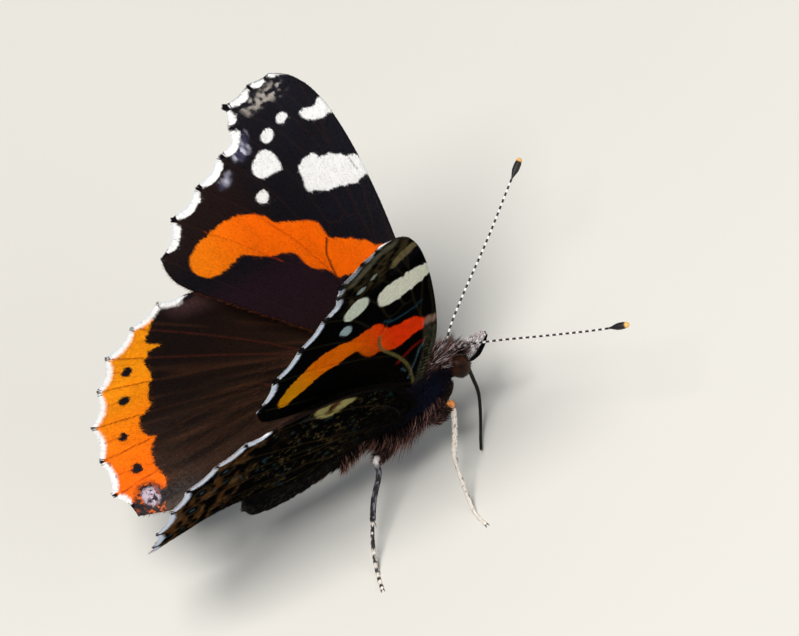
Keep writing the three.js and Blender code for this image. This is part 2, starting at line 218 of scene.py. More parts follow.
# Meshes
def mesh_piece(name, points, faces, material, colours=None, uv=None, smooth=True, corner_uv=None):
    """A piece that rides on the body; points in millimetres from the thorax. Its map has one
    place for each point, or one for each corner of each face."""
    mesh = bpy.data.meshes.new(name)
    mesh.from_pydata((points + BODY) * MM, [], faces)
    mesh.polygons.foreach_set("use_smooth", np.full(len(mesh.polygons), smooth))
    if colours is not None:
        tint = np.ones((len(points), 4))
        tint[:, :3] = colours
        mesh.color_attributes.new("tint", "FLOAT_COLOR", "POINT").data.foreach_set("color", tint.ravel())
    if corner_uv is None:
        corner = np.empty(len(mesh.loops), int)
        mesh.loops.foreach_get("vertex_index", corner)
        corner_uv = uv[corner]
    mesh.uv_layers.new(name="OFBake").data.foreach_set("uv", corner_uv.ravel())
    mesh.materials.append(material)
    piece = bpy.data.objects.new(name, mesh)
    bpy.context.scene.collection.objects.link(piece)
    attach(piece, "root")
    return piece


def repeat_faces(faces, size, count):
    """The faces of one small form, repeated for each copy of size points."""
    faces = np.array(faces)
    return (faces[None] + size * np.arange(count)[:, None, None]).reshape(-1, faces.shape[1])


PATCH = 0.0015


def patch_uv(places, size):
    """One small patch of the map for each form, at its root's place."""
    angle = np.arange(size) * 2 * math.pi / size
    ring = np.column_stack([np.cos(angle), np.sin(angle)]) * PATCH
    return (np.clip(places, PATCH, 1 - PATCH)[:, None] + ring[None]).reshape(-1, 2)


TUFT_MIDDLE_GIRTH = 0.8
TUFT_ROOT_SHADE = 0.6


def tuft_piece(name, roots, normals, lie, rise, length, width, colours, places, material,
               droop=0.5, tip_colours=None):
    """Curved three-sided hairs, each closed at its root, which lean over towards their lie."""
    count = len(roots)
    rise, length, width = (np.broadcast_to(size, count)[:, None] for size in (rise, length, width))
    side = unit(np.cross(normals, lie))
    start = np.cos(rise) * lie + np.sin(rise) * normals
    end = np.cos(rise * (1 - droop)) * lie + np.sin(rise * (1 - droop)) * normals
    foot = roots - normals * width
    middle = roots + start * length * 0.5
    tip = middle + end * length * 0.5
    back = unit(np.cross(start, side))
    points = []
    for centre, girth in ((foot, 1.0), (middle, TUFT_MIDDLE_GIRTH)):
        for turn in (90, 210, 330):
            angle = math.radians(turn)
            points.append(centre + width / 2 * girth * (math.cos(angle) * side + math.sin(angle) * back))
    points = np.stack([*points, tip], axis=1).reshape(-1, 3)
    points[:, 2] = np.maximum(points[:, 2], -BODY_HEIGHT)
    form = [(0, 2, 1)]
    for i in range(3):
        j = (i + 1) % 3
        form += [(i, j, j + 3), (i, j + 3, i + 3), (i + 3, j + 3, 6)]
    colours = np.broadcast_to(colours, (count, 3))
    tips = colours if tip_colours is None else np.broadcast_to(tip_colours, (count, 3))
    shades = [colours * TUFT_ROOT_SHADE] * 3 + [mix(colours, tips, 0.5)] * 3 + [tips]
    shades = np.stack(shades, axis=1).reshape(-1, 3)
    return mesh_piece(name, points, repeat_faces(form, 7, count), material, shades, patch_uv(places, 7))


# Materials
def fill(material, node, inputs):
    """Sets a node's inputs, each to a value or to the output that it is linked with."""
    for name, value in inputs.items():
        if isinstance(value, bpy.types.NodeSocket):
            material.node_tree.links.new(value, node.inputs[name])
        else:
            node.inputs[name].default_value = value
    return node


def add_node(material, kind, inputs=None):
    return fill(material, material.node_tree.nodes.new(f"ShaderNode{kind}"), inputs or {})


def surface(material, inputs):
    """Sets the inputs of the material's own shader."""
    fill(material, material.node_tree.nodes["Principled BSDF"], inputs)
    return material


def new_material(name):
    material = bpy.data.materials.new(name)
    material.use_nodes = True
    return material


ROUGHNESS_SPREAD = 0.12
BUMP_HEIGHT = 0.05 * MM


def tint_material(name, roughness, grain, grain_depth, bump=0, bump_scale=1, specular=0.5):
    """The mesh's own tint, broken by a fine noise, with noise in its roughness and bump."""
    material = new_material(name)
    tint = add_node(material, "VertexColor")
    tint.layer_name = "tint"
    place = add_node(material, "TexCoord").outputs["Object"]
    fine = add_node(material, "TexNoise", {"Scale": grain, "Detail": 3, "Vector": place}).outputs["Fac"]
    spread = add_node(material, "MapRange", {
        "To Min": 1 - grain_depth, "To Max": 1 + grain_depth, "Value": fine})
    shade = add_node(material, "VectorMath")
    shade.operation = "SCALE"
    fill(material, shade, {0: tint.outputs["Color"], "Scale": spread.outputs["Result"]})
    rough = add_node(material, "MapRange", {
        "To Min": max(0.05, roughness - ROUGHNESS_SPREAD), "To Max": min(1, roughness + ROUGHNESS_SPREAD),
        "Value": fine})
    if bump > 0:
        relief = add_node(material, "TexNoise", {"Scale": bump_scale, "Vector": place})
        lift = add_node(material, "Bump", {
            "Strength": bump, "Distance": BUMP_HEIGHT, "Height": relief.outputs["Fac"]})
        surface(material, {"Normal": lift.outputs["Normal"]})
    return surface(material, {
        "Base Color": shade.outputs["Vector"], "Roughness": rough.outputs["Result"],
        "Specular IOR Level": specular})


def clouded_material(name, scale, stops, inputs, on_object=False):
    """A material whose colour wanders between the two stops of a ramp."""
    material = new_material(name)
    cloud = add_node(material, "TexNoise", {"Scale": scale})
    if on_object:
        fill(material, cloud, {"Vector": add_node(material, "TexCoord").outputs["Object"]})
    tone = add_node(material, "ValToRGB", {"Fac": cloud.outputs["Fac"]})
    for element, (position, colour) in zip(tone.color_ramp.elements, stops):
        element.position = position
        element.color = (*colour, 1)
    return surface(material, {"Base Color": tone.outputs["Color"], **inputs})


# Wing outlines and veins, as (span from the hinge, chord forwards of it)
FOREWING = {
    "hinge": (2.2, 1.45, 2.3),
    "raised": {"left": 79, "right": 72.3},
    "nose_up": 9.9,
    "bow": 0.0017,
    "curl": 0,
    "root_pull": 0,
    "flow": (-6, 0.5),
    "map": (-1.5, 31.5, -12.7, 6.2),
    "costa": [(0.3, 0.9), (4, 3.1), (9, 4.4), (16, 5.4), (22.5, 5.8), (27, 5.5), (29.6, 4.5), (30.8, 3.0)],
    "tips": [(30.8, 3.0), (30.8, 1.1), (30.0, -1.6), (28.1, -2.0), (25.9, -4.0), (24.3, -6.7),
             (22.6, -9.8), (19.5, -12.2)],
    "scallops": [0.12, 0.3, 0.25, 0.75, 0.4, 0.5, 0.5],
    "breaks": [(30.7, 4.2, 0.35), (30.8, 2.6, 0.25), (30.7, 1.0, 0.3), (30.0, -1.6, 0.6), (28.05, -2.2, 0.4),
               (26.1, -3.85, 0.4), (24.35, -6.7, 0.4), (22.6, -9.8, 0.4), (19.5, -12.2, 0.8)],
    "white": {1: 0.72, -1: 0.55},
    "inner": [(19.5, -12.2), (16.5, -12.0), (12, -8.9), (6, -4.6), (0.3, -1.0)],
    "root": [(-1.2, -0.35), (-1.2, 0.35)],
    "veins": {
        "subcosta": [(0.8, 0.7), (5, 2.9), (10, 4.2), (16, 5.1)],
        "radius": [(0.8, 0.3), (6, 2.2), (11, 3.1), (15, 3.3), (19, 3.8), (24, 4.5), (28.6, 4.7)],
        "radius1": [(11, 3.1), (15.5, 4.3), (20.5, 5.4)],
        "radius4": [(22, 4.2), (26.5, 3.9), (30.4, 2.6)],
        "radius5": [(17.5, 3.5), (23, 3.4), (27.5, 2.5), (30.4, 1.15)],
        "media1": [(15, 3.3), (15.6, 2.4), (21, 2.4), (26.2, 1.1), (29.7, -1.4)],
        "media2": [(15.6, 2.4), (15.4, 0.9), (20, 0.6), (24.7, -0.5), (27.9, -1.9)],
        "media3": [(15.4, 0.9), (13.6, -0.6), (18, -1.1), (22, -2.1), (25.6, -3.8)],
        "cubitus": [(0.8, -0.2), (4, 0.1), (7.5, -0.3), (11, -1.0), (13.6, -0.6)],
        "cubitus1": [(11, -1.0), (15, -2.0), (19.5, -3.8), (24, -6.5)],
        "cubitus2": [(7.5, -0.3), (12, -2.6), (17.5, -6.1), (22.2, -9.5)],
        "anal": [(0.8, -0.6), (5, -2.8), (10, -5.9), (15, -9.1), (19.2, -11.8)],
    },
}
HINDWING = {
    "hinge": (-0.9, 3.0, 0.4),
    "raised": {"left": 72.8, "right": 68.3},
    "nose_up": 0,
    "bow": -0.001,
    "curl": 3.0,
    "root_pull": 1.1,
    "flow": (0.5, 5),
    "map": (-1.2, 18, -23.1, 2.5),
    "costa": [(-0.7, 0.9), (2, 1.7), (6, 1.8), (10, 0.8), (13.3, -1.8), (15.1, -5.2), (16.2, -8.8)],
    "tips": [(16.2, -8.8), (17.1, -10.9), (16.4, -13.8), (15.2, -16.9), (12.9, -18.9), (10.2, -20.9),
             (7.2, -21.8), (4.2, -22.4), (2.0, -21.5)],
    "scallops": [0.2, 0.3, 0.4, 0.45, 0.5, 0.4, 0.4, 0.3],
    "breaks": [(16.0, -8.6, 0.3), (17.1, -10.9, 0.2), (16.4, -13.8, 0.25), (15.2, -16.9, 0.25),
               (12.9, -18.9, 0.25), (10.2, -20.9, 0.25), (7.2, -21.8, 0.3), (4.2, -22.4, 0.3),
               (2.0, -21.5, 0.9)],
    "white": {1: 0.34, -1: 0.46},
    "inner": [(2.0, -21.5), (0.7, -17), (0.1, -11), (0.0, -6), (-0.7, -1.4)],
    "root": [],
    "veins": {
        "subcosta": [(0, 0.2), (5, 0.4), (10, -1.6), (14.5, -6), (16.9, -10.6)],
        "radius": [(0, -0.3), (3.4, -1.6), (8, -5.2), (12.5, -9.6), (16.1, -13.5)],
        "media1": [(3.4, -1.6), (6.3, -4.6), (10.6, -10.4), (14.9, -16.5)],
        "media2": [(6.3, -4.6), (6.8, -6.2), (9.8, -12), (12.7, -18.5)],
        "media3": [(6.8, -6.2), (5.4, -7.7), (7.8, -13.8), (10.0, -20.4)],
        "cubitus": [(0.1, -0.9), (1.9, -3.2), (3.4, -5.7), (5.4, -7.7)],
        "cubitus1": [(5.4, -7.7), (6.2, -14), (7.1, -21.4)],
        "cubitus2": [(3.4, -5.7), (4.1, -13), (4.1, -22.0)],
        "anal": [(0.2, -1.5), (1.2, -6), (1.8, -13), (2.1, -20.9)],
    },
}
CURL_SPAN = 10
CURL_START = 8
CURL_FULL = 17
PULL_SPAN = 3.5


def wing_point(wing, side_name, u, v, lift):
    """Places in the body's frame of points at a span, a chord and a height off the membrane."""
    side = SIDES[side_name]
    raised = math.radians(wing["raised"][side_name])
    pitch = math.radians(wing["nose_up"])
    spanwise = np.array([0, side * math.cos(raised), math.sin(raised)])
    inward = np.array([0, -side * math.sin(raised), math.cos(raised)])
    chordwise = np.array([math.cos(pitch), 0, 0]) + inward * math.sin(pitch)
    upper = np.array([-math.sin(pitch), 0, 0]) + inward * math.cos(pitch)
    fold = smoothstep(-v, CURL_START, CURL_FULL)
    inner = np.maximum(0, (CURL_SPAN - u) / CURL_SPAN)
    pull = wing["root_pull"] * np.clip((PULL_SPAN - u) / (PULL_SPAN + 0.7), 0, 1) ** 2
    height = wing["curl"] * fold * inner ** 2 - wing["bow"] * u ** 2 + pull + lift
    hinge = np.array(wing["hinge"]) * (1, side, 1)
    return hinge + np.outer(u, spanwise) + np.outer(v, chordwise) + np.outer(height, upper)


FAN = 0.35


def margin_line(wing, step, inset):
    """The scalloped outer margin, drawn in by inset away from its two ends, and its outward
    normals, which fan out evenly round each vein tip."""
    lengths = [math.dist(a, b) for a, b in zip(wing["tips"], wing["tips"][1:])]
    total = sum(lengths)
    points = []
    normals = []
    passed = 0
    for a, b, length, depth in zip(wing["tips"], wing["tips"][1:], lengths, wing["scallops"]):
        along = (np.array(b) - a) / length
        inward = np.array([along[1], -along[0]])
        count = round(length / step)
        for s in range(count):
            t = s / count
            place = passed + t * length
            drawn = inset * smoothstep(place, 0, 1.6) * smoothstep(total - place, 0, 1.6)
            slope = depth * math.pi / length * math.cos(math.pi * t)
            points.append(a + along * length * t + inward * (depth * math.sin(math.pi * t) + drawn))
            normals.append(along * slope - inward)
        passed += length
    points.append(np.array(wing["tips"][-1], float))
    normals.append(normals[-1])
    reach = round(FAN / step)
    padded = np.pad(unit(np.array(normals)), ((reach, reach), (0, 0)), mode="edge")
    share = np.ones(2 * reach + 1) / (2 * reach + 1)
    fanned = np.column_stack([np.convolve(padded[:, k], share, mode="valid") for k in (0, 1)])
    return np.array(points), unit(fanned)


def wing_rim(wing, step, inset):
    """The wing's whole outline, with its margin drawn in by inset."""
    costa = smooth_line(wing["costa"], step)
    margin, _ = margin_line(wing, step, inset)
    inner = smooth_line(wing["inner"], step)
    root = np.array(wing["root"], float).reshape(-1, 2)
    return np.vstack([costa[:-1], margin, inner[1:], root])


def vein_lines(wing, step=0.9):
    return {name: smooth_line(points, step) for name, points in wing["veins"].items()}


def vein_distance(wing, u, v):
    return np.min([line_distance(line, u, v) for line in vein_lines(wing).values()], axis=0)


UNDER_BREAK = 1.25


def break_distance(wing, face, u, v):
    """Distance of each point from the nearest break in the white fringe, wider on the under face."""
    grown = 1 if face > 0 else UNDER_BREAK
    return np.min([np.hypot(u - bu, v - bv) - radius * grown for bu, bv, radius in wing["breaks"]], axis=0)


VEIN_RIDGE = 0.1
VEIN_WIDTH = 0.13


def ridge_height(wing, u, v, face):
    """Veins stand prouder on the under face, and thin out towards the margin."""
    thick = 1 - 0.5 * smoothstep(np.hypot(u, v), 8, 28)
    share = 0.65 if face > 0 else 1.0
    return VEIN_RIDGE * share * thick * np.exp(-(vein_distance(wing, u, v) / VEIN_WIDTH) ** 2)


# Markings. Each painter gives the colour at flat points, with ragged edges along the scale rows.
BLACK = srgb(16, 15, 22)
# Blue-black that stands for the bluish sheen on the upper forewing's black: a painted sheen
BLUE_SHEEN_BLACK = srgb(20, 24, 36)
WARM_BLACK = srgb(34, 18, 14)
BROWN = srgb(58, 34, 24)
PURPLE_BROWN = srgb(44, 24, 34)
ORANGE = srgb(255, 112, 0)
YELLOW_ORANGE = srgb(255, 158, 14)
WHITE = srgb(252, 252, 252)
# The under faces' white, painted bluer and dimmer as shade
SHADED_BLUISH_WHITE = srgb(220, 230, 246)
UNDER_BLACK = srgb(7, 7, 7)


MIDDLE_REACH = 15


PAINT_SEED = 61


class Painter:
    """Paints the marks of one wing face at flat points, one over the other."""

    def __init__(self, wing, u, v):
        self.wing = wing
        origin_u, origin_v = wing["flow"]
        reach = np.hypot(u - origin_u, v - origin_v)
        angle = np.arctan2(v - origin_v, u - origin_u)
        across = angle * reach
        ragged = 0.28 * (noise(across / 0.45, reach * 0.15, PAINT_SEED) - 0.5)
        ragged += 0.2 * (noise(across / 0.2, reach * 0.3, PAINT_SEED + 1) - 0.5)
        self.flat = u, v
        self.torn = u + ragged * (u - origin_u) / reach, v + ragged * (v - origin_v) / reach
        self.reach = reach
        self.across = across
        self.lane = angle * MIDDLE_REACH
        self.rgb = np.zeros((len(u), 3))

    def paint(self, share, colour):
        self.rgb = mix(self.rgb, colour, np.clip(share, 0, 1))

    def area(self, polygon, colour, soft=0.08, clean=False):
        u, v = self.flat if clean else self.torn
        self.paint(smoothstep(inside_distance(rounded(polygon), u, v), -soft, soft), colour)

    def spot(self, centre, size, colour, soft=0.08, tilt=0, clean=False):
        """An oval mark: its centre, its full width and height, and its turn in degrees."""
        u, v = self.flat if clean else self.torn
        du = u - centre[0]
        dv = v - centre[1]
        turn = math.radians(tilt)
        along = du * math.cos(turn) + dv * math.sin(turn)
        over = dv * math.cos(turn) - du * math.sin(turn)
        scale = math.sqrt(size[0] * size[1]) / 2
        gap = (1 - np.hypot(along / (size[0] / 2), over / (size[1] / 2))) * scale
        self.paint(smoothstep(gap, -soft, soft), colour)

    def stroke(self, line, width, colour, soft=0.06, share=1.0):
        gap = width / 2 - line_distance(np.array(line, float), *self.flat)
        self.paint(share * smoothstep(gap, -soft, soft), colour)

    def veins(self, names, width, colour, share):
        lines = vein_lines(self.wing)
        for name in names or lines:
            self.stroke(lines[name], width, colour, 0.08, share)

    def from_breaks(self, face):
        return break_distance(self.wing, face, *self.flat)

    def margin_white(self, face, colour):
        """The fringe's white runs on over the membrane, widest between two breaks."""
        margin, _ = margin_line(self.wing, 0.15, 0)
        away = line_distance(margin, *self.flat)
        lens = np.sqrt(smoothstep(self.from_breaks(face), -0.1, 1.0))
        ragged = 0.88 + 0.24 * noise(self.across / 0.25, self.reach / 0.4, PAINT_SEED + 3)
        edge = self.wing["white"][face] * lens * ragged
        self.paint(1 - smoothstep(away, edge - 0.05, edge + 0.05), colour)


def shaded(colour, share):
    """A colour from a little darker to a little lighter."""
    return colour * (0.92 + 0.16 * share)[:, None]


FOREWING_BAR = [(21.4, 1.0), (21.9, 1.5), (22.2, 2.3), (22.1, 2.8), (21.5, 3.0), (21.7, 3.5), (21.2, 4.0),
                (20.9, 4.6), (20.3, 4.8), (20.5, 5.2), (20.0, 6.1), (18.3, 6.1), (18.0, 5.2), (17.8, 4.7),
                (17.6, 4.5), (17.8, 3.9), (18.2, 3.3), (18.2, 2.6), (18.3, 1.9), (18.9, 1.4), (18.9, 0.9),
                (19.5, 0.7), (20.6, 1.0)]
FOREWING_APEX_MARK = [(26.5, 3.4), (25.6, 3.5), (25.0, 3.9), (24.7, 4.6), (25.1, 6.2), (27.2, 6.2),
                      (26.6, 5.2), (26.0, 4.6)]
FOREWING_BAND = [(17.6, -10.5), (18.9, -9.7), (19.5, -8.0), (20.0, -6.4), (19.9, -4.4), (18.9, -3.3),
                 (17.6, -2.7), (17.2, -1.8), (16.5, -0.6), (16.2, 0.1), (15.1, 0.2), (14.1, 0.2),
                 (13.6, 0.8), (13.1, 1.6), (12.5, 2.4), (11.3, 3.3), (10.4, 4.0), (8.6, 3.3), (9.0, 1.9),
                 (9.8, 0.2), (10.0, -0.6), (10.3, -0.9), (11.2, -1.0), (11.7, -1.9), (12.3, -2.3),
                 (13.1, -2.5), (14.0, -2.6), (14.5, -3.1), (15.2, -5.1), (16.3, -6.2), (16.2, -6.9),
                 (15.5, -8.6), (15.6, -9.3), (16.3, -10.3)]
FOREWING_SPOTS = [
    [(27.05, 2.3), (26.6, 2.65), (26.2, 2.4), (25.95, 1.8), (26.3, 1.5), (26.85, 1.7)],
    [(26.3, 0.7), (25.8, 0.95), (25.3, 0.8), (24.9, 0.3), (24.9, -0.1), (25.4, -0.3), (25.95, -0.1)],
    [(24.5, -0.3), (24.6, -0.9), (24.1, -1.5), (23.5, -2.1), (22.7, -2.2), (22.1, -1.9), (22.0, -1.3),
     (22.1, -0.7), (22.0, -0.1), (22.4, 0.05), (23.0, 0.1), (23.9, 0.0)],
    [(21.2, -2.2), (20.7, -2.0), (20.2, -2.1), (19.8, -2.5), (19.85, -2.8), (20.3, -3.1), (20.9, -3.0)],
]
FOREWING_SMUDGES = [
    [(27.0, -1.0), (26.2, -1.1), (25.0, -1.5), (24.5, -2.2), (24.6, -3.0), (25.3, -2.8), (26.2, -2.0)],
    [(24.3, -3.6), (23.3, -3.9), (22.9, -4.7), (23.0, -5.2), (23.6, -4.8)],
]
FOREWING_APEX_DUST = [(28.1, -0.1), (28.2, 0.7), (28.4, 2.0), (28.5, 3.1), (29.1, 3.8), (29.9, 3.2),
                      (29.8, 1.9), (29.4, 0.6), (28.9, -0.4)]


def paint_forewing_upper(painter):
    u, v = painter.flat
    painter.paint(1, BLACK)
    # Painted sheen: cloudy blue-black over the front and middle of the black field
    costal = smoothstep(v, -3, 3) * smoothstep(u, 10, 18)
    painter.paint(0.6 * costal * noise(u / 2, v / 2, 3), BLUE_SHEEN_BLACK)
    outer = smoothstep(-v, 1, 6) * smoothstep(u, 16, 20)
    painter.paint(0.75 * outer, WARM_BLACK)
    basal = smoothstep(-u, -13, -4)
    painter.paint(0.5 * basal, BROWN)
    under_band = smoothstep(u, 5, 9) * smoothstep(-u, -16, -12) * smoothstep(-v, -1, 3)
    painter.paint(0.7 * under_band, PURPLE_BROWN)
    painter.veins(None, 0.14, BROWN, 0.22)
    band = mix(ORANGE, YELLOW_ORANGE, 0.45 * smoothstep(-v, 4, 10))
    painter.area(FOREWING_BAND, shaded(band, noise(painter.lane / 0.5, painter.reach / 3, 5)), 0.1)
    painter.stroke([(14.2, 0.1), (12.8, -0.6), (11.3, -0.8), (10.3, -0.9)], 0.16, srgb(70, 22, 8), 0.06, 0.85)
    painter.stroke([(11, -1.0), (15, -2.0), (19.5, -3.8)], 0.1, srgb(200, 60, 0), 0.05, 0.5)
    painter.stroke([(14, -3.9), (17.5, -6.1), (20, -8)], 0.1, srgb(200, 60, 0), 0.05, 0.4)
    painter.area(FOREWING_BAR, WHITE, 0.08)
    painter.stroke([(18.9, 5.05), (20.2, 4.95)], 0.12, BLACK, 0.06, 0.5)
    painter.area(FOREWING_APEX_MARK, WHITE, 0.08)
    for spot in FOREWING_SPOTS:
        painter.area(spot, WHITE, 0.07, clean=True)
    streak = noise(painter.lane / 0.14, painter.reach / 0.8, 8)
    for smudge in FOREWING_SMUDGES:
        painter.area(smudge, mix(srgb(60, 58, 84), srgb(222, 222, 240), smoothstep(streak, 0.2, 0.8)), 0.3)
    dust = smoothstep(inside_distance(FOREWING_APEX_DUST, u, v), -0.35, 0.35)
    dust = dust * smoothstep(noise(u / 0.28, v / 0.28, 9) * 0.6 + streak * 0.4, 0.36, 0.62)
    painter.paint(0.8 * dust, srgb(196, 188, 180))
    painter.area([(29.7, 5.2), (31.2, 4.6), (31.2, 2.9), (30.5, 3.1), (30.15, 3.8)], WHITE, 0.1)
    painter.margin_white(1, WHITE)


HINDWING_BORDER = [(19, -10.6), (16.7, -11.5), (15.2, -12.4), (14.4, -13.6), (13.3, -12.2), (13.6, -13.7),
                   (12.6, -14.3), (11.6, -14.2), (10.9, -14.7), (9.5, -15.8), (8.9, -15.6), (8.7, -17.0),
                   (7.5, -17.5), (6.7, -17.2), (6.5, -16.5), (6.0, -17.5), (4.7, -18.1), (3.6, -17.8),
                   (2.6, -18.0), (1.8, -24.5), (19, -24.5)]
HINDWING_DOTS = [
    ((12.9, -15.8), (0.8, 1.1), (14.2, -17.9)),
    ((10.7, -17.25), (0.75, 0.95), (11.6, -19.9)),
    ((7.95, -18.9), (0.75, 0.75), (8.7, -21.4)),
    ((5.1, -19.4), (0.85, 1.0), (5.7, -22.1)),
]


def paint_hindwing_upper(painter):
    u, v = painter.flat
    painter.paint(1, srgb(34, 20, 14))
    outer = smoothstep(painter.reach, 14, 21)
    painter.paint(0.75 * outer * smoothstep(u, 3, 8), srgb(18, 12, 12))
    # Painted highlight: a lighter purple-brown strip along the front edge, where the wing curves over
    from_costa = line_distance(smooth_line(painter.wing["costa"], 0.6), u, v)
    painter.paint(0.7 * (1 - smoothstep(from_costa, 0.5, 2.6)), srgb(84, 58, 58))
    streaks = noise(painter.lane / 0.35, painter.reach / 5, 21)
    inner = smoothstep(-u, -11, -3)
    painter.paint(0.4 * streaks * inner, srgb(74, 52, 38))
    painter.paint(0.6 * inner * (1 - smoothstep(streaks, 0.2, 0.5)), srgb(14, 10, 9))
    painter.paint(0.3 * smoothstep(streaks, 0.6, 1), srgb(92, 56, 34))
    painter.veins(["radius", "media1", "cubitus"], 0.14, srgb(90, 38, 28), 0.4)
    painter.veins(["media2", "media3", "cubitus1", "cubitus2"], 0.12, srgb(66, 36, 24), 0.35)
    border = mix(ORANGE, YELLOW_ORANGE, smoothstep(u, 4, 13))
    painter.area(HINDWING_BORDER, shaded(border, noise(painter.lane / 0.4, painter.reach / 2, 25)), 0.1)
    orange = smoothstep(inside_distance(HINDWING_BORDER, u, v), 0, 0.2)
    for line in vein_lines(painter.wing).values():
        gap = 0.05 - line_distance(line, u, v)
        painter.paint(0.75 * orange * smoothstep(gap, -0.06, 0.06), srgb(150, 50, 0))
    for (su, sv), size, (eu, ev) in HINDWING_DOTS:
        painter.stroke([(su, sv), (eu, ev)], 0.1, srgb(190, 70, 0), 0.06, 0.6)
        painter.spot((su, sv), size, BLACK)
        painter.spot((0.35 * su + 0.65 * eu, 0.35 * sv + 0.65 * ev), (0.32, 0.36), BLACK)
    speckle = noise(u / 0.2, v / 0.2, 29)
    dark_orange = mix(srgb(26, 18, 24), ORANGE, 0.6 * smoothstep(speckle, 0.5, 0.8))
    painter.spot((2.6, -19.8), (2.5, 2.6), dark_orange, 0.25)
    lavender = mix(srgb(192, 178, 194), srgb(40, 30, 44), smoothstep(speckle, 0.55, 0.75))
    painter.spot((2.7, -19.6), (1.35, 1.5), lavender, 0.15)
    for dash in ([(6.7, -21.2), (5.4, -21.6)], [(3.9, -21.8), (2.7, -21.5)]):
        painter.stroke(dash, 0.3, srgb(44, 52, 84), 0.1, 0.85)
    dark_tips = 1 - smoothstep(painter.from_breaks(1), 0, 0.35)
    painter.paint(dark_tips * (0.4 + noise(u / 0.3, v / 0.3, 28)), BLACK)
    painter.margin_white(1, WHITE)
    powder = 0.3 + noise(painter.lane / 0.12, painter.reach / 0.4, 27)
    painter.stroke([(16.0, -9.4), (16.75, -10.9), (16.6, -11.9)], 0.7, WHITE, 0.2, powder)


UNDER_BAR = [(19.5, 0.6), (20.6, 0.7), (21.4, 1.0), (21.8, 2.0), (21.2, 3.1), (20.8, 4.2), (19.8, 5.2),
             (19.2, 6.1), (17.3, 6.1), (17.0, 4.9), (16.9, 4.2), (17.2, 3.2), (17.4, 2.0), (18.1, 1.0)]
UNDER_BAND = [(17.7, -10.4), (18.6, -9.6), (19.4, -7.4), (19.4, -5.0), (18.2, -3.4), (16.8, -2.2),
              (16.8, -1.6), (16.3, -0.4), (15.4, 0.1), (13.6, 0.2), (12.4, 1.2), (11.9, 2.3), (10.7, 3.0),
              (9.4, 3.3), (8.2, 2.9), (8.4, 1.9), (8.4, 0.0), (9.8, -0.7), (10.7, -1.1), (10.8, -1.7),
              (11.6, -2.3), (13.1, -2.6), (14.3, -2.6), (14.9, -3.7), (15.4, -5.0), (16.0, -6.3),
              (15.9, -7.6), (16.0, -8.7), (16.2, -9.9), (16.8, -10.4)]
UNDER_SPOT = [(21.6, -2.2), (22.6, -2.4), (23.3, -2.2), (24.1, -1.2), (24.1, -0.3), (22.9, 0.2), (21.6, 0.1),
              (20.9, -0.5), (20.9, -1.4)]
UNDER_BLUE_SPOT = [(19.6, -3.1), (20.6, -3.3), (21.1, -2.6), (20.2, -2.1), (19.2, -2.2), (18.8, -2.7)]


def apex_shade(v):
    """The under side's fringe is greyer towards the forewing's apex."""
    return 1 - 0.65 * smoothstep(v, -2.5, -0.5)


